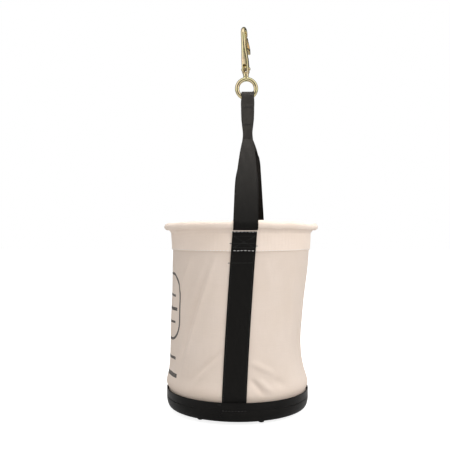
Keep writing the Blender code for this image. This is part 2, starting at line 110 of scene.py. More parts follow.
RIM_CUT_RADIUS = 0.156              # the rim cloth's radius as it was cut
PUCKER_DEPTH = 0.00010              # how far the hem's stitching draws the cloth up
PUCKER_COUNT = 113.0
RIM_RIPPLE = 0.0009
ROLL_CIRCLE = 0.1580
ROLL_Z = 0.3926
ROLL_RADIUS = 0.0079
ROLL_START = math.radians(-118.0)
ROLL_END = math.radians(215.0)

# Webbing
WEB_BOTTOM = 0.0265
FRONT_LOW = math.radians(-3.4)
FRONT_HIGH = math.radians(1.9)
FRONT_SKEW = 1.4
BACK_ANGLE = math.radians(167.5)
WEB_SPLIT_Z = 0.3822
WEB_MEETS_ROLL = math.radians(-63.0)
WEB_LEAVES_ROLL = math.radians(42.0)
WEB_GAP = 0.0003
WEB_STEP = (HEM_BOTTOM - 0.0052, HEM_BOTTOM - 0.0006)    # where the webs step out over the hem
APEX = Vector((0.0148, 0.0034, 0.5800))
GRIP_X = 0.0146

# Eye and hook, on an axis that leans to -X
LOOP_CENTRE = Vector((0.0132, 0.0, 0.6700))
HOOK_LEAN = math.radians(-2.7)
HOOK_YAW = math.radians(72.0)
EYE_CIRCLE = 0.0204
EYE_WIRE = 0.00475
NECK_BOTTOM = 0.0465
RIVET_U = 0.0015
RIVET_Z = 0.0625
RIVET_BORE = 0.0026
EYE_PLACE = Matrix.Translation(LOOP_CENTRE) @ Matrix.Rotation(HOOK_LEAN, 4, "Y")
HOOK_PLACE = EYE_PLACE @ Matrix.Rotation(HOOK_YAW, 4, "Z")


# ---------------------------------------------------------------- settings


def size_of(name, description, default, low, high):
    """A setting in metres."""
    return FloatProperty(
        name=name, description=description, default=default, min=low, max=high,
        subtype="DISTANCE", unit="LENGTH",
    )


def place_of(name, description, default):
    """A place in metres."""
    return FloatProperty(
        name=name, description=description, default=default, subtype="DISTANCE", unit="LENGTH",
    )


def power_of(name, description, default):
    """A lamp's power in watts."""
    return FloatProperty(name=name, description=description, default=default, unit="POWER")


def color_of(name, description, default):
    """A finish's colour."""
    return FloatVectorProperty(
        name=name, description=description, default=default, min=0.0, max=1.0, subtype="COLOR",
    )


class BucketSizes(PropertyGroup):
    """Sizes of the cloth and the thread."""

    canvas: size_of("Canvas", "Thickness of the wall's canvas", 0.0015, 0.0005, 0.003)
    hem_canvas: size_of("Hem ply", "Thickness of one ply of the hem", 0.0010, 0.0005, 0.003)
    web: size_of("Web thickness", "Thickness of the webbing", 0.0016, 0.0008, 0.003)
    web_width: size_of("Web width", "Width of the webbing", 0.0482, 0.02, 0.06)
    stitch: size_of("Stitch", "Length of one stitch on the hem", 0.0054, 0.001, 0.01)
    stitch_gap: size_of("Stitch gap", "Gap between two stitches", 0.0016, 0.0002, 0.005)
    thread: size_of("Thread", "Thickness of the hem's thread", 0.0010, 0.0003, 0.002)
    fold_depth: size_of("Fold depth", "Depth of the soft folds in the wall", 0.0034, 0.0, 0.006)
    around: IntProperty(
        name="Steps round", description="Faces round the canvas wall", default=320,
        min=48, max=480,
    )


class BucketFinishes(PropertyGroup):
    """Colours of the bucket's finishes."""

    canvas: color_of("Canvas", "Natural cotton duck", (0.785, 0.672, 0.588))
    ink: color_of("Ink", "Printed panel on the canvas", (0.030, 0.026, 0.024))
    webbing: color_of("Webbing", "Black webbing", (0.0050, 0.0047, 0.0043))
    plastic: color_of("Plastic", "Moulded pan", (0.0042, 0.0037, 0.0032))
    rubber: color_of("Rubber", "Studs under the pan", (0.016, 0.016, 0.016))
    zinc: color_of("Yellow zinc", "Plating on the eye and the hook", (0.80, 0.675, 0.40))
    thread: color_of("White thread", "Thread of the hem", (0.97, 0.96, 0.93))


class BucketStage(PropertyGroup):
    """Floor, light and camera."""

    camera_x: place_of("Camera X", "Sideways place of the camera", -0.0346)
    camera_distance: place_of("Distance", "From the camera to the bucket's middle", 1.45)
    camera_z: place_of("Camera Z", "Height of the camera", 0.394)
    lens: FloatProperty(name="Lens", description="Focal length in millimetres", default=53.36)
    key: power_of("Key", "Power of the large soft light", 28.0)
    fill: power_of("Fill", "Power of the fill light", 7.0)
    overhead: power_of("Overhead", "Power of the light above", 27.0)
    surround: FloatProperty(
        name="Surround", description="Strength of the studio's walls", default=0.76,
    )


# ---------------------------------------------------------------- shapes


def smooth(low, high, value):
    """0 below low, 1 above high, and an S curve between them."""
    share = min(1.0, max(0.0, (value - low) / (high - low)))
    return share * share * (3.0 - 2.0 * share)


def between(stations, at, column=1):
    """Read a column at a place from (place, value, ...) stations, in straight runs."""
    if at <= stations[0][0]:
        return stations[0][column]
    for low, high in zip(stations, stations[1:]):
        if at <= high[0]:
            share = (at - low[0]) / (high[0] - low[0])
            return low[column] + (high[column] - low[column]) * share
    return stations[-1][column]


def rise(height):
    """0 at the pan's top edge, 1 at the roll."""
    return min(1.0, max(0.0, (height - PAN_TOP) / (ROLL_Z - PAN_TOP)))


def soft_place(radius, angle, height):
    """Place a point of the soft bucket: it leans, its side caves in, and its rim saddles."""
    lift = rise(height)
    saddle = min(1.0, max(0.0, (height - SADDLE_FROM) / (ROLL_Z - SADDLE_FROM)))
    hollow = math.sin(math.pi * lift ** DENT_SKEW) ** DENT_POWER
    inward = DENT_DEPTH * max(0.0, math.sin(angle)) ** 2 * hollow
    grown, fading = smooth(*LEFT_DENT_START, lift), 1.0 - smooth(*LEFT_DENT_END, lift)
    inward += LEFT_DENT * max(0.0, -math.sin(angle)) ** 2 * grown * fading
    radius = radius - inward
    return Vector((
        PAN_CENTRE_X * (1.0 - lift) + radius * math.sin(angle),
        -radius * math.cos(angle),
        height + RIM_SADDLE * math.cos(2.0 * angle) * saddle,
    ))


# Soft folds as (angle, height) at both ends in degrees and metres, half width, and depth as a share
FOLDS = (
    (-19.0, 0.345, -51.0, 0.098, 0.0070, 1.20),
    (-22.5, 0.340, -55.0, 0.092, 0.0070, -0.90),
    (-38.0, 0.350, -58.0, 0.255, 0.0075, 0.90),
    (-33.5, 0.330, -49.5, 0.232, 0.0080, -0.60),
    (-13.0, 0.148, -38.5, 0.086, 0.0055, -0.80),
    (-15.0, 0.134, -35.0, 0.080, 0.0060, 0.45),
    (-62.0, 0.300, -78.0, 0.150, 0.0120, 0.60),
    (-58.0, 0.165, -74.0, 0.075, 0.0110, -0.60),
    (8.0, 0.126, 29.0, 0.097, 0.0060, 0.75),
    (7.5, 0.095, 20.5, 0.057, 0.0055, -1.10),
    (13.5, 0.092, 26.5, 0.062, 0.0050, 0.90),
    (27.0, 0.089, 40.0, 0.069, 0.0085, -0.70),
    (16.0, 0.335, 25.0, 0.262, 0.0090, 0.45),
    (34.0, 0.300, 37.0, 0.140, 0.0130, -0.45),
    (45.0, 0.295, 49.0, 0.130, 0.0110, 0.65),
    (58.0, 0.210, 71.0, 0.085, 0.0110, -0.60),
    (84.0, 0.220, 97.0, 0.085, 0.0150, 0.45),
    (104.0, 0.310, 128.0, 0.120, 0.0130, 0.90),
    (146.0, 0.240, 120.0, 0.080, 0.0120, -0.75),
    (-104.0, 0.320, -132.0, 0.140, 0.0130, 0.85),
    (-120.0, 0.210, -158.0, 0.080, 0.0120, -0.75),
    (-164.0, 0.320, -176.0, 0.150, 0.0110, 0.60),
)


RIPPLE_SHARE = 0.30
FOLDS_CLEAR_WEB = (0.158, 0.225)    # turn from a web's middle over which folds come in


def web_angle(height, low, high):
    """Angle of a web's middle at a height."""
    return low + (high - low) * rise(height) ** FRONT_SKEW


def away(angle):
    """The level direction that points away from the bucket's axis at an angle."""
    return Vector((math.sin(angle), -math.cos(angle), 0.0))


def turn_between(a, b):
    """The shorter turn from angle b to angle a."""
    return (a - b + math.pi) % math.tau - math.pi


def fold(angle, height, depth):
    """How far the wall's face stands out of its plain curve, from its soft folds."""
    total = 0.0
    for angle_0, height_0, angle_1, height_1, half, share in FOLDS:
        start = Vector((0.0, height_0))
        end = Vector((math.radians(angle_1 - angle_0) * HEM_OUTER, height_1))
        here = Vector((turn_between(angle, math.radians(angle_0)) * HEM_OUTER, height))
        along = (end - start).normalized()
        offset = here - start
        run = offset.dot(along) / (end - start).length
        aside = (offset - along * offset.dot(along)).length
        window = smooth(-0.15, 0.35, run) * (1.0 - smooth(0.65, 1.15, run))
        total += share * window * math.exp(-(aside / half) ** 2)
    ripple = noise.noise(Vector((math.sin(angle) * 2.6, math.cos(angle) * 2.6, height * 13.0)))
    total += RIPPLE_SHARE * ripple
    free = smooth(PAN_TOP + 0.002, PAN_TOP + 0.020, height)
    free *= 1.0 - smooth(HEM_BOTTOM - 0.030, HEM_BOTTOM - 0.002, height)
    for web in (web_angle(height, FRONT_LOW, FRONT_HIGH), BACK_ANGLE):
        free *= smooth(*FOLDS_CLEAR_WEB, abs(turn_between(angle, web)))
    return depth * total * free


def plain_radius(height):
    """Radius of the wall's outer face before its folds, with its corners eased."""
    spread = 0.0035 * smooth(PAN_TOP - 0.004, PAN_TOP + 0.008, height)
    return sum(between(WALL_STATIONS, height + spread * step) for step in (-1.0, 0.0, 1.0)) / 3.0


def under_web(height):
    """Radius of the face that a sewn web lies on, which steps out over the hem."""
    plain = plain_radius(height)
    return plain + (HEM_OUTER - plain) * smooth(*WEB_STEP, height)


def run_lengths(path):
    """Length along a path at each of its points."""
    lengths = [0.0]
    for here, after in zip(path, path[1:]):
        lengths.append(lengths[-1] + math.dist(here, after))
    return lengths


def add_object(name, mesh, material):
    """Link a mesh as an object at the origin."""
    thing = bpy.data.objects.new(name, mesh)
    bpy.context.scene.collection.objects.link(thing)
    mesh.materials.clear()
    mesh.materials.append(material)
    return thing


def from_bmesh(name, bm, material):
    """Turn a bmesh into a linked object."""
    mesh = bpy.data.meshes.new(name)
    bm.to_mesh(mesh)
    bm.free()
    return add_object(name, mesh, material)


def settle(thing, sharp):
    """Make an object's modifiers final, and shade it smooth but for its sharp edges."""
    depsgraph = bpy.context.evaluated_depsgraph_get()
    mesh = bpy.data.meshes.new_from_object(thing.evaluated_get(depsgraph), depsgraph=depsgraph)
    old = thing.data
    thing.modifiers.clear()
    thing.data = mesh
    mesh.name = thing.name
    bpy.data.meshes.remove(old)
    mesh.shade_smooth()
    mesh.set_sharp_from_angle(angle=math.radians(sharp))
    return thing


def cloth_bmesh(columns, rows, place, cut, bm=None):
    """A grid of cloth in a bmesh. place takes shares across and along; cut is its flat size."""
    new = bm is None
    if new:
        bm = bmesh.new()
        bm.loops.layers.uv.new("cut")
    layer = bm.loops.layers.uv.active
    made = bmesh.ops.create_grid(bm, x_segments=columns, y_segments=rows, size=0.5)["verts"]
    shares = {vert: (vert.co.x + 0.5, vert.co.y + 0.5) for vert in made}
    for face in {face for vert in made for face in vert.link_faces}:
        for loop in face.loops:
            across, along = shares[loop.vert]
            loop[layer].uv = ((across - 0.5) * cut[0], along * cut[1])
    for vert, (across, along) in shares.items():
        vert.co = place(across, along)
    return bm


def add_cloth(name, bm, thickness, material, weld=False, sharp=40.0):
    """Give a cloth bmesh its thickness and make it an object."""
    if weld:
        bmesh.ops.remove_doubles(bm, verts=bm.verts, dist=1e-5)
    bmesh.ops.recalc_face_normals(bm, faces=bm.faces)
    thing = from_bmesh(name, bm, material)
    solid = thing.modifiers.new("thickness", "SOLIDIFY")
    solid.thickness = thickness
    solid.offset = 0.0
    return settle(thing, sharp)


def turned(profile, steps):
    """Spin an open profile of (radius, height) points about Z."""
    bm = bmesh.new()
    verts = [bm.verts.new((radius, 0.0, height)) for radius, height in profile]
    edges = [bm.edges.new(pair) for pair in zip(verts, verts[1:])]
    bmesh.ops.spin(
        bm, geom=verts + edges, cent=(0, 0, 0), axis=(0, 0, 1),
        angle=math.tau, steps=steps, use_merge=True,
    )
    bmesh.ops.remove_doubles(bm, verts=bm.verts, dist=1e-6)
    bmesh.ops.recalc_face_normals(bm, faces=bm.faces)
    return bm


def arc(centre, radius_x, radius_z, start, end, steps):
    """Points on an elliptical arc in the profile plane."""
    points = []
    for step in range(steps + 1):
        angle = start + (end - start) * step / steps
        points.append((centre[0] + radius_x * math.cos(angle), centre[1] + radius_z * math.sin(angle)))
    return points


def lofted(rings):
    """Bridge a run of equal rings of points and close both ends."""
    bm = bmesh.new()
    last = None
    for points in rings:
        made = bmesh.ops.create_circle(bm, segments=len(points), radius=1.0)["verts"]
        for vert, point in zip(made, points):
            vert.co = point
        edges = list({edge for vert in made for edge in vert.link_edges})
        if last:
            bmesh.ops.bridge_loops(bm, edges=last + edges)
        last = edges
    bmesh.ops.holes_fill(bm, edges=[edge for edge in bm.edges if edge.is_boundary], sides=0)
    bmesh.ops.recalc_face_normals(bm, faces=bm.faces)
    return bm


def plate(outline, half_width):
    """Extrude an outline in the local XZ plane evenly to both sides along Y."""
    bm = bmesh.new()
    face = bm.faces.new([bm.verts.new((u, -half_width, z)) for u, z in outline])
    grown = bmesh.ops.extrude_face_region(bm, geom=[face])
    moved = [item for item in grown["geom"] if isinstance(item, bmesh.types.BMVert)]
    bmesh.ops.translate(bm, verts=moved, vec=(0.0, 2.0 * half_width, 0.0))
    bmesh.ops.recalc_face_normals(bm, faces=bm.faces)
    return bm


def rivet_rod(radius, half_length):
    """A round rod along the gate rivet's axis, in the hook's own directions."""
    bm = bmesh.new()
    matrix = Matrix.Translation((RIVET_U, 0.0, RIVET_Z)) @ Matrix.Rotation(math.pi / 2, 4, "X")
    bmesh.ops.create_cone(
        bm, cap_ends=True, segments=32, radius1=radius, radius2=radius,
        depth=2.0 * half_length, matrix=matrix,
    )
    return bm


def forged(name, solids, cutters, place, voxel, passes, material):
    """Join solids, cut them, and round every edge softly, as a forged and plated piece has."""
    tools = []
    for number, bm in enumerate(solids + cutters):
        bmesh.ops.transform(bm, matrix=place, verts=bm.verts)
        tools.append(from_bmesh(f"{name}_tool_{number}", bm, material))
    thing = tools.pop(0)
    thing.name = name
    for number, tool in enumerate(tools):
        cut = thing.modifiers.new(f"cut_{number}", "BOOLEAN")
        cut.operation = "UNION" if number < len(solids) - 1 else "DIFFERENCE"
        cut.solver = "EXACT"
        cut.object = tool
    remesh = thing.modifiers.new("even", "REMESH")
    remesh.mode = "VOXEL"
    remesh.voxel_size = voxel
    ease = thing.modifiers.new("ease", "SMOOTH")
    ease.factor = 0.5
    ease.iterations = passes
    settle(thing, sharp=60.0)
    for tool in tools:
        mesh = tool.data
        bpy.data.objects.remove(tool)
        bpy.data.meshes.remove(mesh)
    return thing


STITCH_JITTER = 0.00012


def stitch(bm, start, end, outward, thickness, sink=0.25):
    """One stitch of thread: a short bowed bead from start to end."""
    along = end - start
    length = along.length
    along.normalize()
    outward = (outward - along * outward.dot(along)).normalized()
    across = outward.cross(along)
    turn = Matrix((along, across, outward)).transposed().to_4x4()
    middle = (start + end) / 2 + outward * thickness * (0.5 - sink)
    size = Matrix.Diagonal((length / 2, thickness / 2, thickness / 2, 1.0))
    matrix = Matrix.Translation(middle) @ turn @ size
    bmesh.ops.create_uvsphere(bm, u_segments=6, v_segments=5, radius=1.0, matrix=matrix)


def stitch_line(bm, place, count, share, thickness, dice):
    """Stitches along place(share), which gives a point and its outward direction."""
    for number in range(count):
        start, outward = place(number / count)
        end, _ = place((number + share) / count)
        aside, up = (dice.uniform(-STITCH_JITTER, STITCH_JITTER) for _ in range(2))
        shift = Vector((aside, 0.0, up))
        stitch(bm, start + shift, end - shift, outward, thickness)


# ---------------------------------------------------------------- materials


class Nodes:
    """A short way to write a material's nodes."""

    def __init__(self, name):
        self.material = bpy.data.materials.new(name)
        self.material.use_nodes = True
        self.tree = self.material.node_tree
        self.shader = self.tree.nodes["Principled BSDF"]

    def add(self, kind, *links, **values):
        """Add a node; links fill its inputs in order, values set its fields or named inputs."""
        made = self.tree.nodes.new(kind)
        for key, value in values.items():
            if key.startswith("in_"):
                self.feed(made.inputs[key[3:].replace("_", " ")], value)
            else:
                setattr(made, key, value)
        for index, value in enumerate(links):
            self.feed(made.inputs[index], value)
        return made.outputs[0]

    def feed(self, socket, value):
        """Link a socket or set its value."""
        if isinstance(value, bpy.types.NodeSocket):
            self.tree.links.new(value, socket)
        elif socket.type == "RGBA" and len(value) == 3:
            socket.default_value = (*value, 1.0)
        else:
            socket.default_value = value

    def math(self, operation, a, b=0.0):
        """One step of arithmetic."""
        return self.add("ShaderNodeMath", a, b, operation=operation)

    def wave(self, value, pitch):
        """A sine that crosses zero once in each pitch."""
        return self.math("SINE", self.math("MULTIPLY", value, math.pi / pitch))

    def ridges(self, value, pitch):
        """Round ridges, one in each pitch."""
        return self.math("ABSOLUTE", self.wave(value, pitch))

    def axes(self, coordinates):
        """The X, Y and Z of some coordinates."""
        parts = self.tree.nodes.new("ShaderNodeSeparateXYZ")
        self.feed(parts.inputs[0], coordinates)
        return parts.outputs

    def coordinates(self, kind="Object"):
        """Object coordinates, or the cloth's own cut in metres."""
        if kind == "Object":
            return self.tree.nodes.new("ShaderNodeTexCoord").outputs["Object"]
        made = self.tree.nodes.new("ShaderNodeUVMap")
        made.uv_map = "cut"
        return made.outputs["UV"]

    def stretched(self, coordinates, scale):
        """Coordinates with a scale of their own on each axis."""
        return self.add("ShaderNodeMapping", coordinates, in_Scale=scale)

    def noise(self, coordinates, scale, detail=3.0, roughness=0.5):
        """A noise between 0 and 1."""
        made = self.tree.nodes.new("ShaderNodeTexNoise")
        self.feed(made.inputs["Vector"], coordinates)
        made.inputs["Scale"].default_value = scale
        made.inputs["Detail"].default_value = detail
        made.inputs["Roughness"].default_value = roughness
        return made.outputs["Fac"]

    def remap(self, value, low, high, to_low=0.0, to_high=1.0, soft=False):
        """Stretch low..high to to_low..to_high, and hold it there past both ends."""
        made = self.tree.nodes.new("ShaderNodeMapRange")
        made.interpolation_type = "SMOOTHSTEP" if soft else "LINEAR"
        for index, item in enumerate((value, low, high, to_low, to_high)):
            self.feed(made.inputs[index], item)
        return made.outputs[0]

    def mix(self, factor, a, b):
        """Go from color a to color b."""
        made = self.tree.nodes.new("ShaderNodeMix")
        made.data_type = "RGBA"
        self.feed(made.inputs["Factor"], factor)
        self.feed(made.inputs[6], a)
        self.feed(made.inputs[7], b)
        return made.outputs[2]

    def bump(self, height, distance, strength, normal=None):
        """A normal that follows a height, on top of another where one is given."""
        made = self.tree.nodes.new("ShaderNodeBump")
        made.inputs["Strength"].default_value = strength
        made.inputs["Distance"].default_value = distance
        self.feed(made.inputs["Height"], height)
        if normal is not None:
            self.feed(made.inputs["Normal"], normal)
        return made.outputs[0]

    def finish(self, **values):
        """Set or link the shader's inputs by name, with _ for a space."""
        for key, value in values.items():
            self.feed(self.shader.inputs[key.replace("_", " ")], value)
        return self.material


def tinted(color, factor):
    """A colour made lighter or darker."""
    return tuple(min(1.0, channel * factor) for channel in color)


CANVAS_PITCH = 0.00085
RIB_PITCH = 0.0024
YARN_PITCH = 0.0013
SELVEDGE_PITCH = 0.0011
# Painted sheen: the colour the webbing is lifted towards higher up, standing in for the light that falls
# on the upward-tilted strands and the grip
PAINTED_SHEEN_WEB = (0.057, 0.0525, 0.048)
SHEEN_FROM_Z, SHEEN_TO_Z = 0.400, 0.640     # heights between which the web is painted lighter, a painted sheen for the light the upward-tilted strands catch

# Printed panel on the -X side, in metres up and round the cut canvas
PANEL_HEIGHT = 0.2067
PANEL_HALF_WIDTH = 0.086
PANEL_HALF_HEIGHT = 0.068
PANEL_CORNER = 0.040
PANEL_LINE = 0.0026
# Its bars: half length, height and half thickness
PANEL_BARS = (
    (0.074, 0.2024, 0.0034),
    (0.066, 0.2300, 0.0024),
    (0.066, 0.1750, 0.0024),
    (0.070, 0.1000, 0.0030),
    (0.082, 0.0660, 0.0042),
)


def printed_panel(maker, u, v):
    """Ink of a plain printed panel: a rounded frame, three bars in it and two bars below."""
    def apart(value, middle):
        return maker.math("ABSOLUTE", maker.math("SUBTRACT", value, middle))

    def past(value, limit):
        return maker.math("MAXIMUM", maker.math("SUBTRACT", value, limit), 0.0)

    aside = apart(u, -math.pi / 2 * WALL_CUT_RADIUS)
    out_u = past(aside, PANEL_HALF_WIDTH - PANEL_CORNER)
    out_v = past(apart(v, PANEL_HEIGHT), PANEL_HALF_HEIGHT - PANEL_CORNER)
    squares = (maker.math("MULTIPLY", out, out) for out in (out_u, out_v))
    reach = maker.math("SQRT", maker.math("ADD", *squares))
    ink = maker.math("LESS_THAN", apart(reach, PANEL_CORNER), PANEL_LINE)
    for half, height, thick in PANEL_BARS:
        inside = maker.math("LESS_THAN", aside, half)
        level = maker.math("LESS_THAN", apart(v, height), thick)
        ink = maker.math("MAXIMUM", ink, maker.math("MULTIPLY", inside, level))
    return ink


def canvas_material(name, color, ink_color=None):
    """Natural cotton duck: a plain weave with slubs, seed flecks and faint grime."""
    maker = Nodes(name)
    cut = maker.coordinates("cut")
    u, v, _ = maker.axes(cut)
    weave = maker.math("MULTIPLY", maker.wave(u, CANVAS_PITCH), maker.wave(v, CANVAS_PITCH))
    weave = maker.math("ABSOLUTE", weave)
    slub_up = maker.noise(maker.stretched(cut, (620.0, 28.0, 1.0)), 1.0, 3.0)
    slub_round = maker.noise(maker.stretched(cut, (30.0, 560.0, 1.0)), 1.0, 3.0)
    slubs = maker.math("ADD", slub_up, slub_round)
    cloud = maker.noise(cut, 11.0, 4.0, 0.55)
    grain = maker.noise(cut, 420.0, 2.0)
    tone = maker.mix(maker.remap(slubs, 0.75, 1.25), tinted(color, 0.972), tinted(color, 1.022))
    tone = maker.mix(maker.remap(cloud, 0.30, 0.72, 0.0, 0.85), tone,
                     (color[0] * 0.935, color[1] * 0.915, color[2] * 0.885))
    tone = maker.mix(maker.remap(grain, 0.35, 0.65, 0.0, 0.18), tone, tinted(color, 1.06))
    fleck = maker.noise(maker.stretched(cut, (900.0, 700.0, 1.0)), 1.0, 1.0)
    tone = maker.mix(maker.remap(fleck, 0.80, 0.84, 0.0, 0.55), tone, tinted(color, 0.42))
    low = maker.remap(v, 0.028, 0.060, 0.35, 0.0, soft=True)
    if ink_color is not None:
        tone = maker.mix(low, tone, (color[0] * 0.80, color[1] * 0.74, color[2] * 0.66))
        worn = maker.remap(maker.noise(cut, 520.0, 2.0), 0.26, 0.36)
        ink = maker.math("MULTIPLY", printed_panel(maker, u, v), worn)
        tone = maker.mix(maker.math("MULTIPLY", ink, 0.92), tone, ink_color)
    height = maker.math("ADD", maker.math("MULTIPLY", weave, 0.75), maker.math("MULTIPLY", slubs, 0.45))
    normal = maker.bump(height, 0.00035, 0.55)
    soft_height = maker.noise(cut, 60.0, 3.0)
    normal = maker.bump(soft_height, 0.0012, 0.30, normal)
    rough = maker.remap(grain, 0.3, 0.7, 0.86, 0.96)
    return maker.finish(
        Base_Color=tone, Roughness=rough, Normal=normal, Specular_IOR_Level=0.25,
        Sheen_Weight=0.12, Sheen_Roughness=0.6,
    )


def webbing_material(name, color, half):
    """Black webbing: ribs along it, a herringbone between them and a plain selvedge, with a painted sheen
    that grows with height.
    """
    maker = Nodes(name)
    cut = maker.coordinates("cut")
    u, v, _ = maker.axes(cut)
    rib = maker.ridges(u, RIB_PITCH)
    slant = maker.math("PINGPONG", u, RIB_PITCH)
    chevron = maker.math("ADD", maker.math("MULTIPLY", slant, 1.4), v)
    yarn = maker.ridges(chevron, YARN_PITCH)
    edge = maker.remap(maker.math("ABSOLUTE", u), half - 0.0034, half - 0.0026, 0.0, 1.0, soft=True)
    body = maker.math("ADD", maker.math("MULTIPLY", rib, 0.65), maker.math("MULTIPLY", yarn, 0.40))
    plain = maker.ridges(v, SELVEDGE_PITCH)
    mixed = maker.tree.nodes.new("ShaderNodeMix")
    maker.feed(mixed.inputs[0], edge)
    maker.feed(mixed.inputs[2], body)
    maker.feed(mixed.inputs[3], maker.math("MULTIPLY", plain, 0.7))
    height = mixed.outputs[0]
    dust = maker.noise(maker.stretched(cut, (110.0, 26.0, 1.0)), 1.0, 4.0, 0.6)
    fuzz = maker.noise(cut, 1400.0, 2.0)
    tone = maker.mix(maker.remap(height, 0.25, 0.95), tinted(color, 0.55), tinted(color, 1.45))
    tone = maker.mix(maker.remap(dust, 0.42, 0.75, 0.0, 0.30), tone,
                     (color[0] * 2.2 + 0.002, color[1] * 2.1 + 0.002, color[2] * 2.0 + 0.002))
    tone = maker.mix(maker.remap(fuzz, 0.55, 0.75, 0.0, 0.30), tone, tinted(color, 2.0))
    # Painted sheen: the web is made lighter with height, standing in for the light from above on the
    # tilted strands and the grip; dust noise and rib tops vary it
    height_up = maker.axes(maker.coordinates())[2]
    sheen_by_height = maker.remap(height_up, SHEEN_FROM_Z, SHEEN_TO_Z, 0.12, 1.0)
    sheen_by_height = maker.math("POWER", sheen_by_height, 1.5)
    patchy = maker.remap(dust, 0.30, 0.70, 0.75, 1.15)
    ridged = maker.remap(height, 0.2, 1.0, 0.62, 1.2)
    painted_sheen = maker.math("MULTIPLY", maker.math("MULTIPLY", sheen_by_height, patchy), ridged)
    tone = maker.mix(painted_sheen, tone, PAINTED_SHEEN_WEB)
    normal = maker.bump(height, 0.00045, 0.75)
    rough = maker.remap(dust, 0.3, 0.7, 0.62, 0.80)
    return maker.finish(
        Base_Color=tone, Roughness=rough, Normal=normal, Specular_IOR_Level=0.10,
        Sheen_Weight=0.01, Sheen_Roughness=0.45,
    )


def plastic_material(name, color, base_rough):
    """Moulded plastic: a fine grain, faint scuffs and rubbed patches."""
    maker = Nodes(name)
    place = maker.coordinates()
    grain = maker.noise(place, 1700.0, 2.0)
    cloud = maker.noise(place, 26.0, 4.0, 0.6)
    scuff = maker.noise(maker.stretched(place, (90.0, 90.0, 900.0)), 1.0, 3.0, 0.65)
    tone = maker.mix(maker.remap(cloud, 0.35, 0.7), tinted(color, 0.85), tinted(color, 1.35))
    tone = maker.mix(maker.remap(scuff, 0.62, 0.80, 0.0, 0.35), tone, tinted(color, 3.5))
    rough = maker.math(
        "ADD", maker.remap(cloud, 0.3, 0.7, base_rough - 0.05, base_rough + 0.06),
        maker.remap(scuff, 0.55, 0.80, 0.0, 0.16),
    )
    normal = maker.bump(grain, 0.00012, 0.45)
    normal = maker.bump(maker.noise(place, 90.0, 2.0), 0.0006, 0.22, normal)
    return maker.finish(Base_Color=tone, Roughness=rough, Normal=normal, Specular_IOR_Level=0.14)


def zinc_material(name, color):
    """Yellow chromate over zinc: gold with rose and green tints, and dull handling marks."""
    maker = Nodes(name)
    place = maker.coordinates()
    drift = maker.noise(place, 95.0, 3.0, 0.55)
    swirl = maker.noise(place, 230.0, 2.0)
    marks = maker.noise(place, 700.0, 4.0, 0.65)
    rose = (color[0] * 0.99, color[1] * 0.88, color[2] * 0.98)
    green = (color[0] * 0.90, color[1] * 1.01, color[2] * 0.86)
    tone = maker.mix(maker.remap(drift, 0.36, 0.50, soft=True), green, color)
    tone = maker.mix(maker.remap(drift, 0.54, 0.68, soft=True), tone, rose)
    tone = maker.mix(maker.remap(swirl, 0.52, 0.70, 0.0, 0.25), tone, (0.88, 0.80, 0.58))
    tone = maker.mix(maker.remap(marks, 0.60, 0.74, 0.0, 0.16), tone, tinted(color, 0.50))
    rough = maker.remap(swirl, 0.3, 0.7, 0.15, 0.20)
    normal = maker.bump(marks, 0.00002, 0.06)
    normal = maker.bump(maker.noise(place, 160.0, 2.0), 0.0002, 0.05, normal)
    return maker.finish(Base_Color=tone, Roughness=rough, Normal=normal, Metallic=1.0)


def steel_material(name):
    """Drawn spring steel with fine draw lines."""
    maker = Nodes(name)
    place = maker.coordinates()
    lines = maker.noise(maker.stretched(place, (300.0, 2600.0, 300.0)), 1.0, 3.0)
    tone = maker.mix(maker.remap(lines, 0.35, 0.65), (0.42, 0.41, 0.39), (0.66, 0.64, 0.60))
    rough = maker.remap(lines, 0.3, 0.7, 0.26, 0.42)
    return maker.finish(
        Base_Color=tone, Roughness=rough, Normal=maker.bump(lines, 0.00005, 0.4), Metallic=1.0,
    )


def thread_material(name, color, sheen):
    """Twisted thread, with lighter and darker strands."""
    maker = Nodes(name)
    place = maker.coordinates()
    twist = maker.noise(maker.stretched(place, (2600.0, 2600.0, 900.0)), 1.0, 2.0)
    tone = maker.mix(maker.remap(twist, 0.35, 0.65), tinted(color, 0.80), tinted(color, 1.08))
    normal = maker.bump(twist, 0.00012, 0.6)
    rough = maker.remap(twist, 0.3, 0.7, 0.55, 0.75)
    return maker.finish(
        Base_Color=tone, Roughness=rough, Normal=normal, Sheen_Weight=sheen, Sheen_Roughness=0.5,
    )


def shared(name, make, *values):
    """A material by name, made the first time it is asked for."""
    return bpy.data.materials.get(name) or make(name, *values)


def black_web(context):
    """The webbing's material."""
    sizes, colors = context.scene.bucket_sizes, context.scene.bucket_finishes
    return shared("black_webbing", webbing_material, tuple(colors.webbing), sizes.web_width / 2)


def finish_kept(node, material):
    """Give a carried-over node of the frame its finish."""
    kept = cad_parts[node]
    kept.data.materials.clear()
    kept.data.materials.append(material)


# ---------------------------------------------------------------- operators


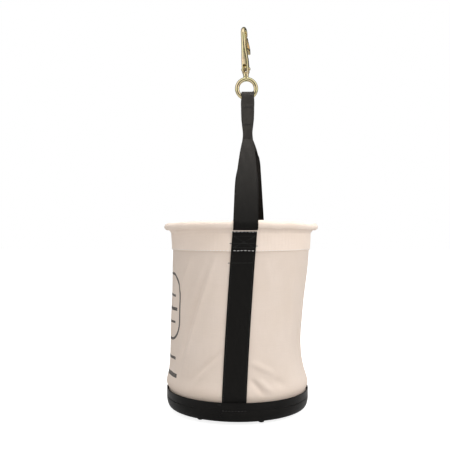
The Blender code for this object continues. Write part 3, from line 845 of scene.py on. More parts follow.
class BUCKET_OT_canvas_wall(Operator):
    """Make the canvas wall, with its soft folds and its printed panel"""

    bl_idname = "bucket.canvas_wall"
    bl_label = "Canvas Wall"
    bl_options = {"REGISTER", "UNDO"}

    def execute(self, context):
        sizes, colors = context.scene.bucket_sizes, context.scene.bucket_finishes
        low, high = WALL_STATIONS[0][0], WALL_STATIONS[-1][0]
        start = BACK_ANGLE - math.tau

        def place(across, along):
            angle = start + math.tau * across
            height = low + (high - low) * along
            radius = plain_radius(height) + fold(angle, height, sizes.fold_depth) - sizes.canvas / 2
            return soft_place(radius, angle, height)

        bm = cloth_bmesh(sizes.around, 120, place, (math.tau * WALL_CUT_RADIUS, high - low))
        layer = bm.loops.layers.uv.active
        shift = (start + math.pi) * WALL_CUT_RADIUS
        for face in bm.faces:
            for loop in face.loops:
                loop[layer].uv.x += shift
        material = shared("cotton_duck_wall", canvas_material, tuple(colors.canvas), tuple(colors.ink))
        wall = add_cloth("canvas_wall_cloth", bm, sizes.canvas, material, weld=True, sharp=60.0)
        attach(wall, "bucket")
        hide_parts("canvas_wall")
        return {"FINISHED"}


class BUCKET_OT_rim(Operator):
    """Make the folded hem and the roll that wraps the hoop"""

    bl_idname = "bucket.rim"
    bl_label = "Rim"
    bl_options = {"REGISTER", "UNDO"}

    def execute(self, context):
        sizes, colors = context.scene.bucket_sizes, context.scene.bucket_finishes
        ply = sizes.hem_canvas
        face = HEM_OUTER - ply / 2
        tuck = face - ply - 0.0001
        middle = ROLL_RADIUS - ply / 2
        path = [(tuck, HEM_BOTTOM + 0.0100), (tuck, HEM_BOTTOM + 0.0050)]
        fold_middle = ((face + tuck) / 2, HEM_FOLD_Z)
        path += arc(fold_middle, (face - tuck) / 2, 0.0013, math.pi, math.tau, 6)
        for step in range(1, 10):
            path.append((face, HEM_FOLD_Z + (HEM_SHOULDER - HEM_BOTTOM) * step / 10))
        path += arc((ROLL_CIRCLE, ROLL_Z), middle, middle, ROLL_START + 0.10, ROLL_END, 36)
        lengths = run_lengths(path)
        stations = [(length / lengths[-1], *point) for length, point in zip(lengths, path)]

        def place(across, along):
            angle = -math.pi + math.tau * across
            radius, height = between(stations, along, 1), between(stations, along, 2)
            spot = Vector((math.sin(angle) * 5.5, math.cos(angle) * 5.5, along * 1.6))
            ripple = RIM_RIPPLE * noise.noise(spot) * smooth(0.12, 0.50, along)
            pucker = PUCKER_DEPTH * math.sin(angle * PUCKER_COUNT) * smooth(0.05, 0.2, along)
            pucker *= 1.0 - smooth(0.50, 0.62, along)
            return soft_place(radius + ripple * 0.5 + pucker, angle, height + ripple)

        bm = cloth_bmesh(sizes.around + 64, 96, place, (math.tau * RIM_CUT_RADIUS, lengths[-1]))
        # Painted light: the hem and the roll use the wall's canvas made 17% lighter, standing in for the
        # light from above that they catch
        material = shared("cotton_duck_rim", canvas_material, tinted(colors.canvas, 1.17))
        rim = add_cloth("hem_and_roll_cloth", bm, ply, material, weld=True, sharp=60.0)
        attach(rim, "bucket")
        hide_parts("rim_sleeve")
        finish_kept("rim_hoop", shared("hoop_finish", plastic_material, (0.62, 0.61, 0.57), 0.45))
        return {"FINISHED"}


class BUCKET_OT_pan(Operator):
    """Make the moulded pan, with its soft corner, its lip and its groove"""

    bl_idname = "bucket.pan"
    bl_label = "Pan"
    bl_options = {"REGISTER", "UNDO"}

    def execute(self, context):
        colors = context.scene.bucket_finishes
        inner = PAN_RADIUS - PAN_WALL
        corner = (PAN_RADIUS - PAN_CORNER_WIDTH, PAN_BOTTOM + PAN_CORNER_HEIGHT)
        floor_top = PAN_BOTTOM + PAN_FLOOR
        quarter = math.pi / 2
        lip = PAN_WALL * 0.45
        profile = [(radius, PAN_BOTTOM) for radius in (0.0, *PAN_FLOOR_RINGS)]
        profile += arc(corner, PAN_CORNER_WIDTH, PAN_CORNER_HEIGHT, -quarter, 0.0, 18)
        groove = (PAN_RADIUS, PAN_GROOVE_Z)
        profile += arc(groove, PAN_GROOVE_DEPTH, PAN_GROOVE_HALF, -quarter, -math.pi * 1.5, 10)
        profile += arc((PAN_RADIUS - lip, PAN_TOP - lip), lip, lip, 0.0, quarter, 6)
        profile += arc((inner + lip, PAN_TOP - lip), lip, lip, quarter, math.pi, 6)
        inner_height = corner[1] - floor_top
        profile += arc(corner, PAN_CORNER_WIDTH - PAN_WALL, inner_height, 0.0, -quarter, 12)
        profile += [(radius, floor_top) for radius in (*reversed(PAN_FLOOR_RINGS), 0.0)]
        bm = turned(profile, 224)
        bmesh.ops.translate(bm, verts=bm.verts, vec=(PAN_CENTRE_X, 0.0, 0.0))
        material = shared("moulded_black", plastic_material, tuple(colors.plastic), 0.31)
        pan = settle(from_bmesh("base_pan_shell", bm, material), sharp=50.0)
        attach(pan, "bucket")
        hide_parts("base_pan")
        return {"FINISHED"}


class BUCKET_OT_studs(Operator):
    """Make the round studs under the pan"""

    bl_idname = "bucket.studs"
    bl_label = "Studs"
    bl_options = {"REGISTER", "UNDO"}

    def execute(self, context):
        colors = context.scene.bucket_finishes
        top = PAN_BOTTOM - 0.0002
        profile = [(0.0, 0.0), (STUD_FLAT * 0.6, 0.0)]
        profile += arc((STUD_FLAT, top * 0.62), STUD_RADIUS - STUD_FLAT, top * 0.62, -math.pi / 2, 0.0, 10)
        profile += [(STUD_RADIUS, top), (0.0, top)]
        material = shared("stud_finish", plastic_material, tuple(colors.rubber), 0.58)
        for number in range(STUD_COUNT):
            bm = turned(profile, 40)
            angle = STUD_FIRST_ANGLE + math.tau * number / STUD_COUNT
            spot = (PAN_CENTRE_X + STUD_CIRCLE * math.sin(angle), -STUD_CIRCLE * math.cos(angle), 0.0)
            bmesh.ops.translate(bm, verts=bm.verts, vec=spot)
            stud = settle(from_bmesh(f"stud_{number + 1}", bm, material), sharp=50.0)
            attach(stud, "bucket")
            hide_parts(f"foot_{number + 1}")
        return {"FINISHED"}


class BUCKET_OT_sewn_webs(Operator):
    """Make the webs that are sewn up the wall and over the hem"""

    bl_idname = "bucket.sewn_webs"
    bl_label = "Sewn Webs"
    bl_options = {"REGISTER", "UNDO"}

    def execute(self, context):
        sizes = context.scene.bucket_sizes
        off = WEB_GAP + sizes.web / 2
        half = sizes.web_width / 2
        length = WEB_SPLIT_Z - WEB_BOTTOM
        runs = (
            ("front_web_sewn", "web_front", FRONT_LOW, FRONT_HIGH),
            ("back_web_sewn", "web_back", BACK_ANGLE, BACK_ANGLE),
        )
        for name, node, low, high in runs:

            def place(across, along):
                height = WEB_BOTTOM + length * along
                middle = web_angle(height, low, high)
                radius = under_web(height) + off
                radius -= 0.0004 * smooth(WEB_SPLIT_Z - 0.004, WEB_SPLIT_Z, height)
                offset = (2.0 * across - 1.0) * half
                bow = 0.00025 * noise.noise(Vector((offset * 60.0, height * 45.0, low * 9.0)))
                angle = middle + offset / radius
                return soft_place(radius + abs(bow), angle, height)

            bm = cloth_bmesh(26, 190, place, (sizes.web_width, length))
            web = add_cloth(name, bm, sizes.web, black_web(context))
            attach(web, "bucket")
            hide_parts(node)
        return {"FINISHED"}


# Free strands: share of the rise, crease half width, turn of the folded edges in degrees, half of the cut
FRONT_STRAND_FOLD = (
    (0.00, 0.0241, 0.0, 0.0241),
    (0.28, 0.0232, 8.0, 0.0241),
    (0.50, 0.0208, 50.0, 0.0241),
    (0.66, 0.0186, 95.0, 0.0234),
    (0.84, 0.0152, 150.0, 0.0222),
    (0.94, 0.0120, 176.0, 0.0208),
    (1.00, 0.0108, 180.0, 0.0200),
)
BACK_STRAND_FOLD = (
    (0.00, 0.0241, 0.0, 0.0241),
    (0.50, 0.0238, 6.0, 0.0241),
    (0.70, 0.0230, 22.0, 0.0241),
    (0.80, 0.0208, 60.0, 0.0238),
    (0.88, 0.0178, 120.0, 0.0228),
    (0.94, 0.0146, 165.0, 0.0214),
    (1.00, 0.0108, 180.0, 0.0200),
)
# Grip: height, face to middle, crease half width, half of its cut width
GRIP_FOLD = (
    (0.5800, 0.0034, 0.0108, 0.0200),
    (0.5860, 0.0033, 0.0100, 0.0192),
    (0.5940, 0.0032, 0.0096, 0.0186),
    (0.6020, 0.0031, 0.0104, 0.0200),
    (0.6100, 0.0030, 0.0115, 0.0220),
    (0.6230, 0.0030, 0.0129, 0.0235),
    (0.6360, 0.0030, 0.0134, 0.0241),
    (0.6550, 0.0042, 0.0139, 0.0241),
)
BEND = 0.0028               # web taken by one full fold
PINCH_START = 0.84          # share of the rise where the front strand's own crease starts
PINCH_SPREAD = 0.0095       # how far that crease runs aside below the pinch
PINCH_LIFT = 0.0009         # and how far it stands up
LOOP_FACE = 0.0088          # from the loop's middle to the middle of its outer face
LOOP_FLAT = 0.0041          # the loop's top stays level until the eye's wire has risen this far


def folded(offset, crease, turn, half, full):
    """Across and behind, for a place on a web whose edges turn back at its creases."""
    side = 1.0 if offset >= 0.0 else -1.0
    reach = abs(offset) / full * half
    if turn < 1e-3:
        return side * reach, 0.0
    radius = BEND / turn
    flat = crease - radius * math.sin(min(turn, math.pi / 2))
    if reach <= flat:
        return side * reach, 0.0
    bent = min(reach - flat, BEND)
    angle = turn * bent / BEND
    across = flat + radius * math.sin(angle)
    behind = radius * (1.0 - math.cos(angle))
    rest = reach - flat - bent
    return side * (across + rest * math.cos(turn)), behind + rest * math.sin(turn)


def strand_spot(side, low_angle, full, off, stations_up):
    """Make the function that places a free strand from its shares across and along, and its length."""
    reach = ROLL_RADIUS + off
    lead = [(HEM_OUTER + off - 0.0004, WEB_SPLIT_Z)]
    lead += arc((ROLL_CIRCLE, ROLL_Z), reach, reach, WEB_MEETS_ROLL, WEB_LEAVES_ROLL, 16)
    lengths = run_lengths(lead)
    root = soft_place(lead[-1][0], low_angle, lead[-1][1])
    apex = Vector((APEX.x, side * APEX.y, APEX.z))
    along_line = apex - root
    total = lengths[-1] + along_line.length
    stations = [(length, *point) for length, point in zip(lengths, lead)]
    direction = along_line.normalized()
    tangent = Vector((math.cos(low_angle), math.sin(low_angle), 0.0)) * -side

    def place(across, along):
        run = along * total
        offset = (2.0 * across - 1.0) * full
        if run <= lengths[-1]:
            radius, height = between(stations, run, 1), between(stations, run, 2)
            return soft_place(radius, low_angle - side * offset / radius, height)
        share = (run - lengths[-1]) / along_line.length
        wide = tangent.lerp(Vector((1.0, 0.0, 0.0)), share)
        wide = (wide - direction * wide.dot(direction)).normalized()
        inward = wide.cross(direction) * side
        inward = inward if inward.y * side < 0.0 else -inward
        crease, turn, half = (between(stations_up, share, column) for column in (1, 2, 3))
        aside, behind = folded(offset, crease, math.radians(turn), half, full)
        curl = aside * aside / (2.0 * ROLL_CIRCLE) * (1.0 - smooth(0.0, 0.35, share))
        drift = 0.0007 * noise.noise(Vector((offset * 40.0, share * 7.0, side * 3.0)))
        drift *= smooth(0.0, 0.1, share) * (1.0 - smooth(0.85, 1.0, share))
        if side < 0.0 and behind < BEND / 2:
            line = 0.0004 + PINCH_SPREAD * (1.0 - share) / (1.0 - PINCH_START)
            raised = smooth(-0.0012, 0.0004, line - offset) * smooth(PINCH_START, 0.90, share)
            drift -= PINCH_LIFT * raised * (1.0 - smooth(0.985, 1.0, share))
        return root + along_line * share + wide * aside + inward * (behind + curl + drift)

    return place, total


class BUCKET_OT_strands(Operator):
    """Make the two free strands, from the rim up to the pinch of the handle"""

    bl_idname = "bucket.strands"
    bl_label = "Strands"
    bl_options = {"REGISTER", "UNDO"}

    def execute(self, context):
        sizes = context.scene.bucket_sizes
        full = sizes.web_width / 2
        off = WEB_GAP + sizes.web / 2
        runs = (
            ("front_strand", "strand_front", -1.0, FRONT_HIGH, FRONT_STRAND_FOLD),
            ("back_strand", "strand_back", 1.0, BACK_ANGLE, BACK_STRAND_FOLD),
        )
        for name, node, side, angle, creases in runs:
            place, total = strand_spot(side, angle, full, off, creases)
            bm = cloth_bmesh(56, 150, place, (sizes.web_width, total))
            strand = add_cloth(name, bm, sizes.web, black_web(context))
            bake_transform(strand)
            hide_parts(node)
        return {"FINISHED"}


def saddle(aside):
    """How far the eye's wire has curved up at a distance from its middle."""
    return EYE_CIRCLE - math.sqrt(max(0.0, EYE_CIRCLE ** 2 - aside * aside))


class BUCKET_OT_grip(Operator):
    """Make the folded grip and the loop that holds the eye"""

    bl_idname = "bucket.grip"
    bl_label = "Grip"
    bl_options = {"REGISTER", "UNDO"}

    def execute(self, context):
        sizes = context.scene.bucket_sizes
        full = sizes.web_width / 2
        material = black_web(context)
        low, high = GRIP_FOLD[0][0], GRIP_FOLD[-1][0]
        bm = None
        for side in (-1.0, 1.0):

            def ply(across, along):
                height = low + (high - low) * along
                face, crease, half = (between(GRIP_FOLD, height, column) for column in (1, 2, 3))
                offset = (2.0 * across - 1.0) * full
                aside, behind = folded(offset, crease, math.pi, half, full)
                drift = 0.0003 * noise.noise(Vector((offset * 90.0, height * 60.0, side)))
                middle = between(((low, APEX.x), (0.60, GRIP_X), (high, GRIP_X)), height)
                return Vector((middle + aside, side * (face + drift - behind), height))

            bm = cloth_bmesh(56, 70, ply, (sizes.web_width, high - low), bm)
        grip = add_cloth("grip_web", bm, sizes.web, material)
        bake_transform(grip)
        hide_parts("grip_loop")

        top = LOOP_CENTRE.z
        leg = top - high
        quarter_run = leg + math.pi / 2 * LOOP_FACE
        crease, half = GRIP_FOLD[-1][2], GRIP_FOLD[-1][3]
        foot = GRIP_FOLD[-1][1]

        def loop(across, along):
            offset = (2.0 * across - 1.0) * full
            run = (along * 2.0 - 1.0) * quarter_run
            side = -1.0 if run < 0.0 else 1.0
            climb = quarter_run - abs(run)
            aside, behind = folded(offset, crease, math.pi, half, full)
            tip = min(1.0, max(0.0, climb / leg))
            narrow = 1.0 - 0.07 * smooth(0.2, 1.0, tip)
            aside *= narrow
            if climb <= leg:
                out = foot + (LOOP_FACE - foot) * smooth(0.0, 1.0, tip) - behind
                spot = Vector((GRIP_X + aside, side * out, high + climb))
            else:
                angle = (climb - leg) / LOOP_FACE
                out = LOOP_FACE - behind
                level, rise_by = out * math.cos(angle), out * math.sin(angle)
                spot = Vector((GRIP_X + aside, side * level, top + rise_by))
            shift = spot.x - LOOP_CENTRE.x
            spot.z += max(LOOP_FLAT, saddle(shift * 1.02)) * smooth(0.1, 1.0, tip)
            return spot

        bm = cloth_bmesh(56, 72, loop, (sizes.web_width, 2.0 * quarter_run))
        loop_web = add_cloth("loop_web", bm, sizes.web, material)
        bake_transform(loop_web)
        return {"FINISHED"}


# Rows of thread: heights in metres
HEM_ROWS = (0.3792, 0.3438)
HEM_WANDER = 0.0007
ROW_INSET = 0.0030                  # from a web's edge to the row beside it
EDGE_ROW = (0.0480, 0.2880)         # foot and length of the row along each edge of a web
WEB_BARS = (0.3495, 0.3585, 0.3720, 0.3200)
CROSS_BOX = (0.3495, 0.0225)        # foot and height of the crossed box over the hem
# Loose tails beside a web: side, height and length past the edge
WEB_TAILS = ((-1.0, 0.3580, 0.0042), (-1.0, 0.3195, 0.0046), (1.0, 0.3530, 0.0036))
TACK_ROWS = ((0.6490, 0.0045), (0.6120, 0.0045))     # zigzags over the grip: height and reach
# Black rows: number of stitches, share of each pitch that is thread, and thickness
EDGE_THREAD = (76, 0.72, 0.0007)
BAR_THREAD = (11, 0.74, 0.0008)
CROSS_THREAD = (12, 0.74, 0.0008)
GROOVE_PITCH = 0.0062
GROOVE_HALF_STITCH = 0.0021


def on_hem(height, sizes):
    """Make the function that places a row of hem stitches, which steps out over both webs."""
    half_turn = sizes.web_width / 2 / HEM_OUTER

    def place(share):
        angle = -math.pi + math.tau * share
        radius = HEM_OUTER
        for web in (FRONT_HIGH, BACK_ANGLE):
            aside = abs(turn_between(angle, web))
            radius += (sizes.web + WEB_GAP) * (1.0 - smooth(half_turn - 0.002, half_turn + 0.006, aside))
        spot = Vector((math.sin(angle) * 7.0, math.cos(angle) * 7.0, height))
        level = height + HEM_WANDER * noise.noise(spot)
        return soft_place(radius, angle, level), away(angle)

    return place


def sew_web(bm, low, high, sizes, dice):
    """Sew one web to the wall: its edges, its bars, its crossed box and its loose tails."""
    half = sizes.web_width / 2
    inset = half - ROW_INSET

    def spot(height, aside):
        radius = under_web(height)
        radius += WEB_GAP + sizes.web
        angle = web_angle(height, low, high) + aside / radius
        return soft_place(radius, angle, height), away(angle)

    def along_edge(side):
        return lambda share: spot(EDGE_ROW[0] + EDGE_ROW[1] * share, side * inset)

    def over(height, lift=0.0, slope=1.0):
        return lambda share: spot(height + lift * share, slope * inset * (2.0 * share - 1.0))

    for side in (-1.0, 1.0):
        stitch_line(bm, along_edge(side), *EDGE_THREAD, dice)
    for height in WEB_BARS:
        stitch_line(bm, over(height), *BAR_THREAD, dice)
    for slope in (-1.0, 1.0):
        stitch_line(bm, over(*CROSS_BOX, slope), *CROSS_THREAD, dice)
    for side, height, length in WEB_TAILS:
        base = HEM_OUTER if height > HEM_BOTTOM else plain_radius(height)
        angle = web_angle(height, low, high)
        for lift in (-0.0005, 0.0006):
            start = soft_place(base, angle + side * (half - 0.001) / base, height + lift)
            end = soft_place(base, angle + side * (half + length) / base, height - lift)
            stitch(bm, start, end, away(angle), 0.0011, 0.2)


def on_pan(radius, angle, height):
    """A point on the pan, about the pan's own axis."""
    return Vector((PAN_CENTRE_X + radius * math.sin(angle), -radius * math.cos(angle), height))


def sew_pan(bm, middle, sizes):
    """Sew the pan to a web's foot: a row in its groove and two upright tacks beside the web."""
    for number in range(8):
        angle = middle + (number - 3.5) * GROOVE_PITCH / PAN_RADIUS
        half_turn = GROOVE_HALF_STITCH / PAN_RADIUS
        turns = (angle - half_turn, angle + half_turn)
        ends = [on_pan(PAN_RADIUS - 0.0007, turn, PAN_GROOVE_Z) for turn in turns]
        stitch(bm, *ends, away(angle), 0.0015)
    for number in range(2):
        angle = middle - (sizes.web_width / 2 + 0.0035 + number * 0.0040) / PAN_RADIUS
        ends = [on_pan(PAN_RADIUS, angle, PAN_TOP - 0.0042 + drop) for drop in (0.0012, -0.0012)]
        stitch(bm, *ends, away(angle), 0.0012)


def sew_grip(bm, side, sizes):
    """Sew one side of the grip: two zigzags across it and a row along each fold."""
    outward = Vector((0.0, side, 0.0))

    def on_grip(x, height, lift=0.0):
        out = between(GRIP_FOLD, height, 1) + sizes.web / 2
        return Vector((x, side * out, height + lift))

    for height, reach in TACK_ROWS:
        for number in range(6):
            x = GRIP_X - 0.0100 + number * 0.0040
            for flip in (-1.0, 1.0):
                start = on_grip(x - 0.0018, height, -flip * reach / 2)
                end = on_grip(x + 0.0018, height, flip * reach / 2)
                stitch(bm, start, end, outward, 0.0008, 0.15)
    for x in (GRIP_X - 0.0112, GRIP_X + 0.0112):
        for number in range(7):
            height = 0.6130 + number * 0.0052
            stitch(bm, on_grip(x, height), on_grip(x, height, 0.0040), outward, 0.0008, 0.15)


def sewn(name, bm, material):
    """Turn a bmesh of stitches into a finished piece."""
    return settle(from_bmesh(name, bm, material), sharp=80.0)


class BUCKET_OT_thread(Operator):
    """Sew the hem, the webs, the pan and the grip"""

    bl_idname = "bucket.thread"
    bl_label = "Thread"
    bl_options = {"REGISTER", "UNDO"}

    def execute(self, context):
        sizes, colors = context.scene.bucket_sizes, context.scene.bucket_finishes
        dice = random.Random(4)
        white = shared("white_thread", thread_material, tuple(colors.thread), 0.2)
        black = shared("black_thread", thread_material, tinted(colors.webbing, 2.2), 0.25)

        bm = bmesh.new()
        pitch = sizes.stitch + sizes.stitch_gap
        count = round(math.tau * HEM_OUTER / pitch)
        for height in HEM_ROWS:
            stitch_line(bm, on_hem(height, sizes), count, sizes.stitch / pitch, sizes.thread, dice)
        hem = sewn("hem_stitches", bm, white)
        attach(hem, "bucket")

        bm = bmesh.new()
        for low, high in ((FRONT_LOW, FRONT_HIGH), (BACK_ANGLE, BACK_ANGLE)):
            sew_web(bm, low, high, sizes, dice)
        webs = sewn("web_stitches", bm, black)
        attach(webs, "bucket")

        bm = bmesh.new()
        for middle in (FRONT_LOW, BACK_ANGLE):
            sew_pan(bm, middle, sizes)
        pan = sewn("pan_stitches", bm, black)
        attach(pan, "bucket")

        bm = bmesh.new()
        for side in (-1.0, 1.0):
            sew_grip(bm, side, sizes)
        grip = sewn("grip_stitches", bm, black)
        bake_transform(grip)
        return {"FINISHED"}


class BUCKET_OT_eye(Operator):
    """Make the round swivel eye with its boss and stem"""

    bl_idname = "bucket.eye"
    bl_label = "Eye"
    bl_options = {"REGISTER", "UNDO"}

    def execute(self, context):
        colors = context.scene.bucket_finishes
        ring = bmesh.new()
        place = Matrix.Translation((EYE_CIRCLE, 0.0, EYE_CIRCLE))
        bmesh.ops.create_circle(ring, segments=32, radius=EYE_WIRE, matrix=place)
        bmesh.ops.spin(
            ring, geom=ring.verts[:] + ring.edges[:], cent=(0.0, 0.0, EYE_CIRCLE), axis=(0, 1, 0),
            angle=math.tau, steps=96, use_merge=True,
        )
        bmesh.ops.remove_doubles(ring, verts=ring.verts, dist=1e-6)
        bmesh.ops.recalc_face_normals(ring, faces=ring.faces)
        top = 2.0 * EYE_CIRCLE
        stem = turned([
            (0.0, top), (0.0056, top), (0.0056, 0.0461), (0.0032, 0.0461), (0.0032, 0.0548),
            (0.0046, 0.0548), (0.0046, 0.0562), (0.0036, 0.0570), (0.0, 0.0570),
        ], 32)
        zinc = shared("yellow_zinc_plate", zinc_material, tuple(colors.zinc))
        eye = forged("eye_ring", [ring, stem], [], EYE_PLACE, voxel=0.00042, passes=4, material=zinc)
        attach(eye, "eye")
        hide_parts("swivel_eye")
        return {"FINISHED"}


# Hook body: height, offset towards the gate, half depth, half width, squareness
HOOK_SHANK = (
    (NECK_BOTTOM, 0.0, 0.0060, 0.0060, 2.0),
    (0.0515, 0.0, 0.0063, 0.0063, 2.0),
    (0.0550, 0.0, 0.0074, 0.0077, 3.0),
    (0.0700, -0.0002, 0.0075, 0.0077, 4.0),
    (0.0840, -0.0014, 0.0072, 0.0074, 4.0),
    (0.0960, -0.0042, 0.0062, 0.0064, 3.0),
    (0.1080, -0.0072, 0.0050, 0.0052, 2.4),
    (0.1220, -0.0084, 0.0044, 0.0046, 2.0),
)
BOW_CENTRE = (0.0040, 0.1385)
BOW_RADIUS = 0.0125
BOW_HALF = 0.0044
BILL_HALF = 0.0032


def hook_rings():
    """Rings of points up the shank, round the bow and down the bill."""
    stations = [(u, z, depth, width, power) for z, u, depth, width, power in HOOK_SHANK]
    for step in range(1, 19):
        share = step / 18
        angle = math.pi * (1.0 - share)
        half = BOW_HALF + (BILL_HALF - BOW_HALF) * max(0.0, 2.0 * share - 1.0)
        stations.append((
            BOW_CENTRE[0] + BOW_RADIUS * math.cos(angle), BOW_CENTRE[1] + BOW_RADIUS * math.sin(angle),
            half, half, 2.0,
        ))
    tip = BILL_HALF * 0.8
    stations.append((BOW_CENTRE[0] + BOW_RADIUS, BOW_CENTRE[1] - 0.0020, tip, tip, 2.0))
    rings = []
    for index, (u, z, depth, width, power) in enumerate(stations):
        before, after = stations[max(index - 1, 0)], stations[min(index + 1, len(stations) - 1)]
        run = Vector((after[0] - before[0], 0.0, after[1] - before[1])).normalized()
        normal = Vector((run.z, 0.0, -run.x))
        ring = []
        for step in range(32):
            angle = math.tau * step / 32
            bulge = (abs(math.cos(angle)) ** power + abs(math.sin(angle)) ** power) ** (-1.0 / power)
            point = Vector((u, 0.0, z)) + normal * (depth * bulge * math.cos(angle))
            ring.append(point + Vector((0.0, width * bulge * math.sin(angle), 0.0)))
        rings.append(ring)
    return rings


class BUCKET_OT_hook(Operator):
    """Make the hook's body and its gate, and finish the rivet, the washer and the spring"""

    bl_idname = "bucket.hook"
    bl_label = "Hook"
    bl_options = {"REGISTER", "UNDO"}

    def execute(self, context):
        colors = context.scene.bucket_finishes
        zinc = shared("yellow_zinc_plate", zinc_material, tuple(colors.zinc))
        slot = plate([
            (-0.0200, 0.0527), (0.0200, 0.0527), (0.0200, 0.1120), (-0.0018, 0.1120),
            (-0.0030, 0.0960), (-0.0034, 0.0720), (-0.0200, 0.0720),
        ], 0.0035)
        bore = turned([
            (0.0, 0.0429), (0.0036, 0.0429), (0.0036, 0.0527),
            (0.0054, 0.0527), (0.0054, 0.0580), (0.0, 0.0580),
        ], 32)
        cutters = [slot, rivet_rod(RIVET_BORE, 0.0120), bore]
        solids = [lofted(hook_rings())]
        body = forged("hook_frame", solids, cutters, HOOK_PLACE, voxel=0.00036, passes=4, material=zinc)
        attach(body, "hook")
        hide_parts("hook_body")

        barrel = arc((RIVET_U, RIVET_Z), 0.0042, 0.0042, math.radians(155.0), math.radians(375.0), 18)
        outline = barrel + [
            (0.0066, 0.0780), (0.0095, 0.0930), (0.0118, 0.1080), (0.0280, 0.1080),
            (0.0292, 0.1020), (0.0335, 0.1010), (0.0350, 0.1040), (0.0350, 0.1130), (0.0175, 0.1342),
            (0.0128, 0.1342), (0.0123, 0.1420), (0.0095, 0.1430), (0.0078, 0.1050),
        ]
        window = plate([
            (0.0122, 0.1290), (0.0120, 0.1120), (0.0292, 0.1120), (0.0296, 0.1140), (0.0166, 0.1290),
        ], 0.01)
        spring_room = rivet_rod(0.0046, 0.0021)
        cutters = [window, rivet_rod(RIVET_BORE, 0.01), spring_room]
        solids = [plate(outline, 0.0032)]
        gate = forged("hook_gate", solids, cutters, HOOK_PLACE, voxel=0.00030, passes=3, material=zinc)
        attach(gate, "gate")
        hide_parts("gate")

        steel = shared("drawn_steel", steel_material)
        for node, finish in (("gate_rivet", zinc), ("swivel_washer", zinc), ("gate_spring", steel)):
            finish_kept(node, finish)
        return {"FINISHED"}


def add_area(name, location, target, size, power, color):
    """A soft light that looks at a point."""
    light = bpy.data.lights.new(name, "AREA")
    light.shape = "RECTANGLE"
    light.size, light.size_y = size
    light.energy = power
    light.color = color
    lamp = bpy.data.objects.new(name, light)
    bpy.context.scene.collection.objects.link(lamp)
    lamp.location = location
    lamp.visible_glossy = False
    lamp.rotation_euler = (Vector(target) - Vector(location)).to_track_quat("-Z", "Y").to_euler()
    return lamp


BRIGHT_SIDE = (0.48, -0.42, 0.77)      # the room is brightest towards here
FLOOR_GLOW = 0.85                      # lifts the floor to white where it is seen directly

# Gloss room: how bright each direction is, from the camera's side (0) to the far side (1)
GLOSS_ROOM = (
    (0.0, 0.12), (0.05, 0.22), (0.11, 1.10), (0.30, 1.35),
    (0.44, 0.85), (0.60, 0.45), (0.74, 0.10), (1.0, 0.04),
)


def studio_world(strength):
    """White behind the bucket, a soft room that lights it, and a banded room for its gloss."""
    world = bpy.data.worlds.new("studio")
    bpy.context.scene.world = world
    world.use_nodes = True
    tree = world.node_tree
    tree.nodes.clear()

    def add(kind, links=(), **values):
        made = tree.nodes.new(kind)
        for key, value in values.items():
            setattr(made, key, value)
        for index, value in links:
            if isinstance(value, bpy.types.NodeSocket):
                tree.links.new(value, made.inputs[index])
            else:
                made.inputs[index].default_value = value
        return made

    def graded(value, stops):
        made = add("ShaderNodeValToRGB", [("Fac", value)])
        ramp = made.color_ramp
        for index, (at, color) in enumerate(stops):
            stop = ramp.elements[index] if index < 2 else ramp.elements.new(at)
            stop.position = at
            stop.color = (*color, 1.0)
        return made.outputs["Color"]

    def spread(value):
        limits = [("Value", value), ("From Min", -1.0), ("From Max", 1.0)]
        return add("ShaderNodeMapRange", limits).outputs["Result"]

    def background(color, power):
        return add("ShaderNodeBackground", [("Color", color), ("Strength", power)]).outputs[0]

    def either(test, no, yes):
        return add("ShaderNodeMixShader", [(0, test), (1, no), (2, yes)]).outputs[0]

    direction = add("ShaderNodeTexCoord").outputs["Generated"]
    lean = add("ShaderNodeVectorMath", [(0, direction), (1, BRIGHT_SIDE)], operation="DOT_PRODUCT")
    soft = graded(spread(lean.outputs["Value"]), [(0.28, (0.32, 0.31, 0.30)), (0.86, (1.0, 1.0, 1.0))])
    axes = add("ShaderNodeSeparateXYZ", [(0, direction)]).outputs
    first, last = GLOSS_ROOM[0], GLOSS_ROOM[-1]
    order = [first, last, *GLOSS_ROOM[1:-1]]
    bands = graded(spread(axes[1]), [(at, (level, level, level)) for at, level in order])
    path = add("ShaderNodeLightPath")
    room = either(path.outputs["Is Glossy Ray"], background(soft, strength), background(bands, 1.0))
    seen = background((1.0, 1.0, 1.0, 1.0), 1.0)
    add("ShaderNodeOutputWorld", [("Surface", either(path.outputs["Is Camera Ray"], room, seen))])


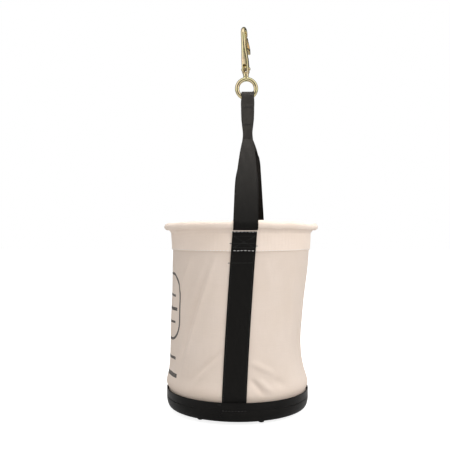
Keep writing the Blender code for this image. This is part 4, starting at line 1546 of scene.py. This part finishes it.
class BUCKET_OT_stage(Operator):
    """Lay the floor, set the lights and place the camera"""

    bl_idname = "bucket.stage"
    bl_label = "Stage"
    bl_options = {"REGISTER", "UNDO"}

    def execute(self, context):
        stage = context.scene.bucket_stage
        bm = bmesh.new()
        bmesh.ops.create_grid(bm, x_segments=8, y_segments=8, size=9.0)
        maker = Nodes("floor_white")
        place = maker.coordinates()
        tone = maker.mix(maker.noise(place, 3.0), (0.56, 0.56, 0.56), (0.60, 0.60, 0.60))
        seen = maker.tree.nodes.new("ShaderNodeLightPath").outputs["Is Camera Ray"]
        material = maker.finish(
            Base_Color=tone, Roughness=0.9, Emission_Color=(1.0, 1.0, 1.0),
            Emission_Strength=maker.math("MULTIPLY", seen, FLOOR_GLOW),
        )
        floor = from_bmesh("floor", bm, material)
        studio_world(stage.surround)
        middle = (0.0, 0.0, 0.3)
        add_area("key", (2.00, -1.70, 1.6), middle, (1.1, 1.1), stage.key, (1.0, 0.99, 0.975))
        add_area("fill", (-1.8, -1.2, 0.9), middle, (1.2, 1.6), stage.fill, (1.0, 0.99, 0.98))
        above, aim = (0.0, -0.25, 2.3), (0.0, 0.0, 0.4)
        add_area("overhead", above, aim, (1.3, 1.3), stage.overhead, (1.0, 1.0, 1.0))
        camera = bpy.data.objects.new("camera", bpy.data.cameras.new("camera"))
        context.scene.collection.objects.link(camera)
        camera.data.sensor_width = 36.0
        camera.data.lens = stage.lens
        camera.location = (stage.camera_x, -stage.camera_distance, stage.camera_z)
        camera.rotation_euler = (math.pi / 2, 0.0, 0.0)
        context.scene.camera = camera
        context.scene.view_settings.view_transform = "Standard"
        return {"FINISHED"}


class BUCKET_PT_sidebar(Panel):
    """Lists the bucket's pieces and settings"""

    bl_idname = "BUCKET_PT_sidebar"
    bl_label = "Canvas Tool Bucket"
    bl_space_type = "VIEW_3D"
    bl_region_type = "UI"
    bl_category = "Bucket"

    def draw(self, context):
        layout = self.layout
        for setting, _ in SETTINGS:
            group = getattr(context.scene, setting)
            box = layout.box()
            for key in group.bl_rna.properties.keys():
                if key not in {"rna_type", "name"}:
                    box.prop(group, key)
        for operator in OPERATORS:
            layout.operator(operator.bl_idname)


SETTINGS = (
    ("bucket_sizes", BucketSizes),
    ("bucket_finishes", BucketFinishes),
    ("bucket_stage", BucketStage),
)
OPERATORS = (
    BUCKET_OT_stage,
    BUCKET_OT_pan,
    BUCKET_OT_studs,
    BUCKET_OT_canvas_wall,
    BUCKET_OT_rim,
    BUCKET_OT_sewn_webs,
    BUCKET_OT_strands,
    BUCKET_OT_grip,
    BUCKET_OT_thread,
    BUCKET_OT_eye,
    BUCKET_OT_hook,
)


def register():
    """Register the settings, the operators and the panel."""
    for name, group in SETTINGS:
        bpy.utils.register_class(group)
        setattr(bpy.types.Scene, name, PointerProperty(type=group))
    for operator in OPERATORS:
        bpy.utils.register_class(operator)
    bpy.utils.register_class(BUCKET_PT_sidebar)


def unregister():
    """Take away what register added."""
    bpy.utils.unregister_class(BUCKET_PT_sidebar)
    for operator in reversed(OPERATORS):
        bpy.utils.unregister_class(operator)
    for name, group in reversed(SETTINGS):
        delattr(bpy.types.Scene, name)
        bpy.utils.unregister_class(group)


def main():
    """Build every piece in order."""
    register()
    for operator in OPERATORS:
        family, name = operator.bl_idname.split(".")
        getattr(getattr(bpy.ops, family), name)()


if __name__ == "__main__":
    main()
